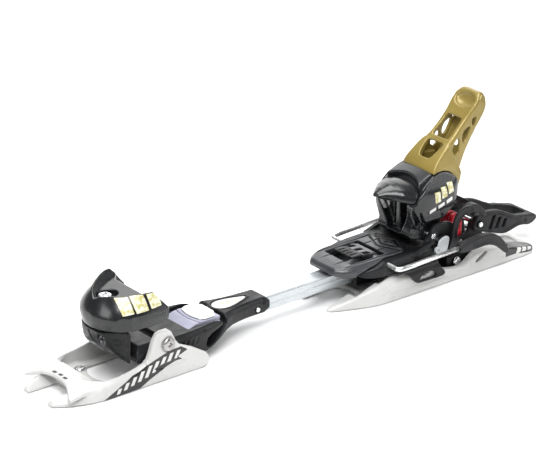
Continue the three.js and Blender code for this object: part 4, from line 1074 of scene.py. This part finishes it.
def heel_pad():
    f = Field((-100.2, -29.2, 28), (-21, 29.2, 38.3), 0.6)
    # The front end is drawn out 6 mm beyond the outlines below.
    f.x = f.x - 6.0 * np.clip((f.x + 66) / 40, 0, 1)
    plan = smooth(mirrored([(-27, 15), (-30, 18.6), (-35, 23.6), (-41, 26.8), (-50, 28.2), (-92, 29.0),
                            (-96, 26.5), (-100.2, 22)]), 1)
    hull = f.poly("z", plan)
    side = [(-26.6, 31.0), (-26.6, 34.6), (-30, 36.6), (-40, 38.25), (-101, 38.25), (-101, 37.1),
            (-70, 37.1), (-62, 35.0), (-50, 32.0), (-43.6, 30.3), (-43.6, 28.2), (-34, 28.2)]
    body = both(f.poly("y", side), hull, 1.4)
    body = both(body, (hull + (f.z - 34.4)) * 0.7071, 0.9)
    # A lip runs round the edge, the tread is inset, with two fine lines down each side.
    lip = both(np.abs(f.z - 33.6) - 0.45, -hull - 0.55)
    body = less(body, both(lip, f.x + 43), 0.4)
    tread = both(both(hull + 5.0, 37.75 - f.z), f.x + 30, 0.4)
    body = less(body, both(tread, -101 - f.x), 0.4)
    for y in (9.4, 21.0):
        line = both(np.abs(np.abs(f.y) - y) - 0.4, 37.1 - f.z)
        body = less(body, both(line, f.x + 33), 0.35)
    well = f.block((-78, -18.4, 20), (-44, 18.4, 60), 1.2)
    body = less(body, well, 0.7)
    body = less(body, f.block((-60, -9.5, 20), (-20, 9.5, 28.7), 0.4), 0.4)
    for x in (-84, -90, -96):
        vee = both(np.abs(f.x - x + np.abs(f.y) * 0.42) - 1.0, 37.0 - f.z)
        body = less(body, both(vee, np.abs(f.y) - 22), 0.5)
    solid("heel_pad_body", f, body, PADDED, "heel_unit", "heel_pad")


def heel_sides():
    f = Field((-130.4, 34, 9.4), (-71.4, 41.2, 27.6), 0.5, symmetric=False)
    shape = smooth([(-72, 27), (-80, 24.6), (-88, 20.8), (-93, 15.2), (-97, 11.0), (-104, 10.2),
                    (-126, 10.2), (-129.6, 11.6), (-129.4, 14.6), (-124.6, 19.6), (-121, 26.8), (-110, 27)],
                   1)
    skirt = f.y - 40.6 + np.clip(f.z - 20, 0, 8) * 0.30
    foot = both(both(f.poly("y", shape), skirt, 0.8), 37.7 - f.y, 0.6)
    flange = f.block((-121, 34.7, 24.6), (-74, 40.7, 27), 0.7)
    body = either(foot, flange, 1.2)
    eye = smooth([(-99, 12.8), (-106, 12.4), (-119.6, 12.6), (-118.8, 15.2), (-113.4, 19.4), (-103, 18.8)],
                 1)
    body = less(body, f.prism("y", eye, 30, 45), 0.8)
    rim = f.poly("y", eye) - 1.8
    body = less(body, both(both(np.abs(rim) - 0.25, 40.0 - f.y), f.z - 23), 0.3)
    pair("heel_foot_body", f, body, MATTE, "heel_unit", "heel_foot")

    g = Field((-170.5, 31.2, 26.5), (-131.5, 34.1, 66.5), 0.45, symmetric=False)
    outer = smooth([(-132.4, 28), (-138.6, 30), (-141.8, 38), (-143.6, 48), (-145.6, 57), (-150, 62.4),
                    (-158, 65.4), (-166, 65.0), (-170, 61.4), (-167, 57.6), (-158, 58.0), (-152.6, 54.4),
                    (-149.6, 47), (-149.2, 38), (-152.2, 31.4), (-150, 27)], 2)
    plate = both(g.poly("y", outer), np.abs(g.y - 32.6) - 1.4, 0.9)
    inset = both(g.poly("y", outer) + 1.7, 33.5 - g.y)
    plate = less(plate, inset, 0.4)
    pair("side_plate_body", g, plate, MATTE, "heel_unit", "side_plate")

    h = Field((-187, -30.8, 49.5), (-162.5, 30.8, 64), 0.5)
    arc = smooth([(-163, 57.4), (-163, 60.6), (-167, 62.8), (-171, 63.4), (-176, 61.8), (-181, 58),
                  (-186.4, 51.6), (-184.5, 50), (-180, 53.6), (-176, 56.8), (-171, 59.0), (-167, 58.6)], 1)
    crown = 0.0035 * h.y ** 2
    guard = both(polygon(h.x, h.z + crown, arc), np.abs(h.y) - 30.6, 1.2)
    guard = either(guard, both(h.poly("y", arc), np.abs(h.y) - 30.6, 1.2), 1.0)
    for s in (1, -1):
        guard = less(guard, both(np.abs(h.y - s * 22) - 0.5, -(h.poly("y", arc) + 0.6)), 0.4)
    guard = less(guard, both(np.abs(h.y) - 22.9, -(h.x + 177.6), 1.5), 0.8)
    solid("rear_guard_body", h, guard, MATTE, "heel_unit", "rear_guard")


# ---------------------------------------------------------------- cup and lever

def heel_cup():
    f = Field((-159.4, -29.2, 37), (-77.4, 29.2, 102.6), FINE)
    side = smooth([(-101.2, 76.5), (-104, 79.4), (-108, 81.4), (-113, 85.2), (-119, 90.0), (-127, 95.6),
                   (-134, 99.2), (-142, 100.4), (-159, 99.4), (-159, 99.4), (-158.8, 80), (-155.4, 74),
                   (-149.4, 65), (-143.4, 56.4), (-136.6, 50), (-131.6, 45), (-129.2, 39.6), (-124, 37.4),
                   (-118.8, 39.6), (-114, 42.4), (-106.5, 43.6), (-102.6, 46.2), (-104.6, 52), (-103.9, 61),
                   (-102.2, 69), (-101.2, 73.5)], 1)
    plan = smooth(mirrored([(-99.6, 19.6), (-102.4, 22.4), (-107, 25.0), (-112, 26.8), (-120, 28.2),
                            (-132, 28.5), (-148, 28.0), (-155, 25.6), (-160, 21.4)]), 1)
    a = np.abs(f.y)
    lean_in = (a - 28.4 + (f.z - 84.5) * 0.52) * 0.887
    waist = (a - 21.6 - np.clip(f.z - 54, 0, 60) * 0.42 - np.clip(50 - f.z, 0, 9) * 0.25) * 0.9
    shell = both(f.poly("y", side), f.poly("z", plan), 2.0)
    shell = both(both(shell, lean_in, 2.2), waist, 1.6)
    # Hood: a block between the ridges, its front rim curved round the visor.
    rim = f.x + 120.4 - 6.6 * (f.y / 20) ** 2
    hood_top = f.z - (95.0 - 0.30 * (f.x + 114) - 0.0035 * f.y ** 2)
    hood_sides = both(a - 21.6 + (f.z - 92) * 0.20, both(-134.5 - f.x, 60 - f.z))
    hood = both(both(hood_top * 0.95, rim * 0.86, 0.8), hood_sides, 1.5)
    shell = either(shell, hood, 0.8)
    for s in (1, -1):
        valley = either(f.pill((-112, s * 23.6, 86.4), (-123, s * 22.4, 95.4), 1.5),
                        f.pill((-123, s * 22.4, 95.4), (-134, s * 20.6, 101.6), 1.5), 1)
        shell = less(shell, valley, 2.6)
        ridge = either(f.pill((-106.6, s * 25.2, 77.6), (-119, s * 25.6, 89.6), 0.7),
                       f.pill((-119, s * 25.6, 89.6), (-136, s * 21.6, 99.6), 0.7), 1)
        shell = either(shell, ridge, 2.0)
    # Convex visor drawn to a beak, parted from the hood by a narrow moat.
    wide = curve(f.x, [-124, -116, -107, -100, -95, -90, -85, -81, -77],
                 [27.4, 26.8, 25.6, 22.4, 18.4, 14.4, 10.2, 6.6, 3.0])
    high = curve(f.x, [-124, -118, -110, -103, -96, -89, -83, -78.5, -76],
                 [14.6, 15.8, 17.4, 17.6, 16.8, 14.6, 11.4, 8.2, 5.6])
    bend = 1 - (f.y / wide) ** 2
    cap = (f.z - 76 - high * np.sign(bend) * np.sqrt(np.abs(bend))) * 0.62
    beak = f.poly("z", mirrored([(-77.9, 0), (-79.4, 2.4), (-83, 5.4), (-87.5, 9.0), (-92, 13.0),
                                 (-97, 17.8), (-102, 21.8), (-107, 24.8), (-113, 26.4), (-124, 27)]))
    lip = 79.3 + 0.15 * (f.x + 100)
    behind = -((f.x + 107) + 0.857 * (f.z - 78)) / 1.317
    dome = both(both(both(cap, beak, 2.2), lip - f.z, 1.2), behind + 0.7, 1.0)
    shell = less(shell, both(both(cap - 1.4, behind - 1.3), both(75.5 - f.z, -cap - 5.0)), 0.4)
    body = either(shell, dome, 0.6)
    # Mouth: a tall arch opening forward under the visor, with an upright rib at its back.
    arch = [(-8.2, 40), (-9.4, 50), (-13.4, 57), (-16.6, 63.4), (-19.2, 71), (-19.4, 76), (-16.6, 80),
            (-10, 83.4)]
    arch = arch + [(0, 84.8)] + [(-y, z) for y, z in reversed(arch)]
    tunnel = both(f.poly("x", smooth(arch, 1)), -(f.x + 112.0), 2.4)
    mouth = both(tunnel, -cap - 4.2, 1.5)
    body = less(body, both(mouth, 46.8 - f.z, 3.0), 1.0)
    body = less(body, both(tunnel, both(f.z - 78, 46.8 - f.z, 2.0), 1.0), 1.0)
    for s in (1, -1):
        deep = both(both(np.abs(f.y - s * 5.8) - 2.9, np.abs(f.x + 113) - 3.4, 1.0),
                    both(f.z - 80, 48.5 - f.z, 1.0), 1.0)
        body = less(body, deep, 0.6)
    rib = both(both(a - 1.9 - 0.04 * (78 - f.z), np.abs(f.x + 111) - 2.6, 0.9), both(f.z - 80, 44 - f.z))
    body = either(body, rib, 0.9)
    for s in (1, -1):
        front = smooth([(-104.4, 73.8), (-103.6, 69), (-106.6, 60), (-110.0, 54.6), (-111.8, 56.6),
                        (-110.2, 63), (-106.8, 70)], 1)
        back = smooth([(-110.6, 69.6), (-112.6, 69.2), (-116.4, 60), (-118.2, 51.8), (-115.4, 50.8),
                       (-112.6, 57)], 1)
        edge = smooth([(-103.2, 75.6), (-102.0, 69), (-105.2, 59), (-109.8, 52.4), (-113.4, 55.6),
                       (-111.6, 64), (-107.6, 71.6)], 1)
        raised = f.prism("y", edge, s * 24 - 3, s * 24 + 0.9)
        body = either(body, both(raised, body - 0.8), 0.5)
        body = less(body, f.prism("y", front, s * 24 - 4.5, s * 24 + 8), 0.5)
        body = less(body, f.prism("y", back, s * 24 - 4.0, s * 24 + 8), 1.0)
    # Seat of the lever: a round shoulder on the hub, with a slot each side for the lever's discs.
    radius = distance(f, HUB)
    outside = both(20.0 - radius, both(f.x + 130.5, 79.5 - f.z))
    body = less(body, outside, 0.9)
    body = less(body, both(radius - 20.25, np.abs(a - 14.05) - 2.6), 0.5)
    body = less(body, f.rod("y", AXLE, 3.3, -40, 40), 0.4)
    body = less(body, f.rod("y", HUB, 2.9, -20, 20), 0.4)
    body = less(body, f.rod("x", (0, 62), 7.4, -170, -119.6), 0.5)

    def marks(p):
        x, y, z = p[:, 0], np.abs(p[:, 1]), p[:, 2]
        side_only = 24.4 - y
        gold = np.full(len(p), FAR)
        for x0, z0 in ((-127.2, 74.4), (-134.8, 77.2), (-142.6, 79.6)):
            u = x - 0.10 * (z - z0)
            block = polygon(u, z, [(x0, z0), (x0 - 6.4, z0 + 0.8), (x0 - 6.4, z0 + 10.4), (x0, z0 + 10.6)])
            gold = np.minimum(gold, block)
        light = np.full(len(p), FAR)
        for i in range(3):
            x0, z0 = -121.8 - i * 9.4, 65.6 + i * 2.7
            u = x - 0.25 * (z - z0)
            dash = polygon(u, z, [(x0, z0), (x0 - 7.6, z0 + 2.2), (x0 - 7.6, z0 + 5.8), (x0, z0 + 3.6)])
            light = np.minimum(light, dash)
        return {"ink_gold": np.maximum(gold, side_only), "ink_light": np.maximum(light, side_only)}

    solid("heel_cup_body", f, body, GLOSS, "cup", "heel_cup", marks)


def heel_lever():
    f = Field((-199.6, -21.6, 58.4), (-118, 21.6, 157.8), FINE)
    # The grip leans 3 mm further back than the outlines below.
    f.x = f.x + 3.0 * np.clip((f.z - 104) / 46, 0, 1)
    side = smooth([(-131.2, 92), (-131.0, 99.8), (-135, 104.6), (-141, 110), (-151, 119.0), (-161, 128),
                   (-171, 138.8), (-180, 149.8), (-184.6, 155), (-189, 157.9), (-193.6, 157), (-196, 152.4),
                   (-194.6, 144.6), (-190, 135.6), (-181.4, 121), (-173.6, 108.6), (-168, 99), (-164, 91),
                   (-161.4, 82), (-158, 80), (-140, 84)], 1)
    profile = f.poly("y", side)
    a = np.abs(f.y)
    along = -(f.x + 146) * 0.66 + (f.z - 95) * 0.75
    half = curve(along, [-4, 10, 18, 27, 38, 50, 62, 69, 75, 79, 82],
                 [17.2, 17.0, 16.4, 15.2, 14.4, 14.4, 15.6, 15.2, 12.6, 9.0, 3.0])
    shank = both(profile, a - half, 3.4)
    # Skirt: the broad base that wraps over the cup's round shoulder.
    skirt_side = smooth([(-131.0, 97), (-131.0, 100.4), (-136, 107), (-143.5, 113.8), (-150.4, 118.4),
                         (-152.4, 118.0), (-156, 110), (-161, 100), (-164.2, 91), (-161.4, 82), (-158, 78),
                         (-140, 90)], 1)
    skirt = both(f.poly("y", skirt_side), a - 21.3 + np.clip(f.z - 96, 0, 40) * 0.2, 1.5)
    outer = either(shank, skirt, 2.2)
    # Channel opened from behind, leaving the face, the side walls and a rear flange.
    face = f.poly("y", [(-131.2, 80), (-131.0, 99.8), (-135, 104.6), (-141, 110), (-151, 119.0),
                        (-161, 128), (-171, 138.8), (-180, 149.8), (-200, 166), (-120, 166), (-120, 80)])
    hollow = both(both(3.6 - face, a - (half - 2.8), 1.5), both(along - 53, -along - 2, 2), 1.5)
    lever = less(outer, hollow, 0.9)
    rear_wall = both(both(profile + 0.3, -(profile + 3.2)), both(a - (half - 1.5),
                                                                 both(along - 56, 2 - along)), 0.5)
    rear_wall = less(rear_wall, both(a - 4.0, both(along - 49, 29 - along), 1.5), 0.8)
    lever = either(lever, both(rear_wall, 9.0 - face), 0.8)
    # Windows in the face with a crossbar between them, and a web behind the crossbar.
    big = both(both(a - (half - 4.6), np.abs(along - 37.2) - 11.2, 4.0), face - 5.5)
    taper = half - 6.4 - np.clip(18 - along, 0, 18) * 0.28
    small = both(both(a - taper, np.abs(along - 12.4) - 8.6, 3.0), face - 8)
    lever = less(lever, big, 1.0)
    lever = less(lever, small, 1.0)
    web = both(both(np.abs(along - 23.4) - 1.3, a - (half - 1)), both(face - 7, 0.5 - face), 0.4)
    lever = either(lever, both(web, profile + 0.6), 0.8)
    # Oval finger dimple.
    dx, dz = f.x + 181.6, f.z - 150.4
    across, deep = dx * 0.66 - dz * 0.75, dx * 0.75 + dz * 0.66
    dimple = np.sqrt((across / 6.8) ** 2 + (f.y / 11.2) ** 2 + (deep / 3.4) ** 2) - 1
    lever = less(lever, dimple * 3.2, 1.2)
    radius = distance(f, HUB)
    for s in (1, -1):
        for shape in ([(-154.8, 111.4), (-163.2, 106.6), (-165.6, 121.6), (-160.3, 122.0)],
                      [(-167.6, 118.6), (-171.4, 116.2), (-178.2, 129.6), (-175.0, 130.6), (-169.0, 127.2)],
                      [(-181.0, 127.6), (-184.0, 138.8), (-177.6, 136.9)]):
            slot = f.prism("y", smooth(shape, 1), s * 16 - 6, s * 16 + 6)
            lever = less(lever, slot, 0.8)
        # Step concentric with the hub, low on the skirt.
        ring = np.abs(radius - 26.2) - 0.5
        lever = less(lever, both(both(ring, np.abs(f.y - s * 21.4) - 1.1), f.x + 141), 0.5)
        low = both(radius - 25.8, np.abs(f.y - s * 21.9) - 1.5)
        lever = less(lever, both(low, f.x + 140), 0.4)
    lever = less(lever, radius - 20.35, 0.6)
    discs = both(radius - 19.9, np.abs(a - 14.05) - 2.3, 0.5)
    neck = f.poly("y", [(-132, 90), (-132.2, 99), (-141, 106.6), (-162, 104), (-160.4, 84)])
    discs = either(discs, both(neck, np.abs(a - 14.05) - 2.3), 0.5)
    lever = either(lever, discs, 0.4)
    lever = less(lever, f.rod("y", HUB, 2.9, -40, 40), 0.3)
    lever = both(lever, f.z - 157.6, 0.3)
    solid("heel_lever_body", f, lever, GOLD, "lever", "heel_lever")


# ---------------------------------------------------------------- brake
def brake():
    x, z = BRAKE_AXIS
    half = 46.6
    left = rounded_path([(-146, half, 35.4), (-79, half, 33.5), (x, half - 1.5, 33.05), (x, 26, z),
                         (x, 0, z)], 9, 14)
    full = left[:-1] + [np.array([p[0], -p[1], p[2]]) for p in reversed(left)]
    tube("brake_wire_body", full, 2.2, ZINC, "brake", "brake_wire", sides=24)

    f = Field((-76, -12.5, 28), (-45.6, 12.5, 41.2), 0.4)
    hub = f.rod("y", BRAKE_AXIS, 4.9, -12.5, 12.5, 0.8)
    plate = smooth([(-70, 33), (-74.4, 36.8), (-71, 38.4), (-58, 40.0), (-46, 40.8), (-45.8, 38.6),
                    (-60, 36.6), (-67, 32.2)], 1)
    body = either(hub, f.prism("y", plate, -12.5, 12.5, 0.8), 1.0)
    for y in (-7.5, -2.5, 2.5, 7.5):
        body = less(body, both(both(np.abs(f.y - y) - 0.7, np.abs(f.x + 51) - 3.6, 0.4), 39.2 - f.z), 0.4)
    body = less(body, f.rod("y", BRAKE_AXIS, 2.5, -20, 20), 0.3)
    tread = both(body, -57.5 - f.x, 0.4)
    solid("brake_pedal_tread", f, tread, MATTE, "brake", "brake_pedal")
    link = both(body, f.x + 57.9, 0.4)
    for y in (-9.5, 0, 9.5):
        link = less(link, both(both(np.abs(f.y - y) - 2.4, np.abs(f.x + 63.5) - 4.2, 0.8), 35.4 - f.z), 0.5)
    solid("brake_pedal_link", f, link, SPRING, "brake", "brake_pedal")

    g = Field((-199.5, half - 4, 14.5), (-138.5, half + 4, 41.5), 0.5, symmetric=False)
    shape = smooth([(-139, 31.6), (-139, 39.0), (-146, 39.8), (-154, 40.6), (-166, 41.4), (-176, 40.2),
                    (-185, 35.8), (-192, 28.4), (-196.4, 21.4), (-199, 16.6), (-195.4, 15.0), (-190, 20.0),
                    (-184, 25.0), (-177, 29.0), (-169, 31.2), (-158, 30.6), (-150, 30.4)], 1)
    width = curve(g.x, [-199, -190, -170, -139], [2.4, 3.2, 3.9, 3.7])
    shoe = both(g.poly("y", shape), np.abs(g.y - half) - width, 1.8)
    for s in (1, -1):
        flute = both(g.poly("y", shape) + 2.4, np.abs(g.y - half - s * 4.0) - 0.9)
        shoe = less(shoe, both(flute, g.x + 152), 0.5)
    collar = g.rod("x", (half, 35.35), 4.0, -147, -138.8, 0.8)
    shoe = either(shoe, collar, 1.0)
    shoe = less(shoe, g.rod("x", (half, 35.3), 2.5, -146.6, -120), 0.3)
    shoe = both(shoe, np.abs(g.y - half) - 4.0, 0.3)
    pair("brake_shoe_body", g, shoe, RUBBERY, "brake", "brake_shoe")
    for side, s in SIDES:
        path = []
        turns, points_a_turn, radius, length = 3, 26, 3.55, 3.3
        for i in range(turns * points_a_turn + 1):
            a = 2 * math.pi * i / points_a_turn
            y = s * 15.4 + (i / (turns * points_a_turn) - 0.5) * length
            path.append((x + radius * math.cos(a), y, z + radius * math.sin(a)))
        tube(f"brake_coil_{side}", path, 0.62, SPRING, "brake", f"brake_spring_{side}",
             sides=10)


# ---------------------------------------------------------------- set
def floor_and_light():
    # Camera: a long lens from the near side, 23 degrees up, as in the photograph.
    azimuth, elevation, distance = math.radians(141.28), math.radians(23.4), 2500.0
    back = Vector((math.sin(azimuth) * math.cos(elevation), -math.cos(azimuth) * math.cos(elevation),
                   math.sin(elevation)))
    target = Vector((24.73, 0.0, 82.3)) + DATUM
    camera_data = bpy.data.cameras.new("camera")
    camera_data.sensor_width = 36
    camera_data.lens = 36 * 1.179 * distance / 559
    camera = bpy.data.objects.new("camera", camera_data)
    camera.location = (target + back * distance) / 1000
    camera.rotation_euler = (-back).to_track_quat("-Z", "Y").to_euler()
    bpy.context.scene.collection.objects.link(camera)
    bpy.context.scene.camera = camera

    material = look("floor", (0.93, 0.93, 0.93), 0.6, grain=(300, 0.01), mottle=(4, 0.01), spec=0.25)
    floor_mesh = bpy.data.meshes.new("floor")
    r = 6.0
    floor_mesh.from_pydata([(-r, -r, -0.0006), (r, -r, -0.0006), (r, r, -0.0006), (-r, r, -0.0006)], [],
                           [(0, 1, 2, 3)])
    floor = bpy.data.objects.new("floor", floor_mesh)
    floor_mesh.materials.append(material)
    bpy.context.scene.collection.objects.link(floor)

    world = bpy.data.worlds.new("studio")
    world.use_nodes = True
    world.node_tree.nodes["Background"].inputs["Color"].default_value = (1.0, 1.0, 1.0, 1)
    world.node_tree.nodes["Background"].inputs["Strength"].default_value = 0.22
    bpy.context.scene.world = world
    bpy.context.scene.view_settings.view_transform = "Standard"
    for name, where, size, energy in (("key", (0.7, 0.9, 1.7), 1.0, 35),
                                      ("fill", (-1.6, 1.0, 0.9), 0.9, 12),
                                      ("top", (-0.1, -0.4, 1.9), 1.2, 31),
                                      ("front", (1.7, 0.1, 0.8), 0.7, 7),
                                      ("back", (-1.0, -1.3, 0.75), 1.5, 13)):
        light_data = bpy.data.lights.new(name, "AREA")
        light_data.shape = "SQUARE"
        light_data.size = size
        light_data.energy = energy
        light = bpy.data.objects.new(name, light_data)
        light.location = where
        light.rotation_euler = (Vector((0, 0, 0.05)) - Vector(where)).to_track_quat("-Z", "Y").to_euler()
        bpy.context.scene.collection.objects.link(light)


front_base()
carrier()
badge_plate()
bar()
slide()
toe_shell()
toe_housing()
fittings()
rear_base()
lock_bracket()
lock_parts()
heel_housing()
heel_pad()
heel_sides()
heel_cup()
heel_lever()
brake()
floor_and_light()
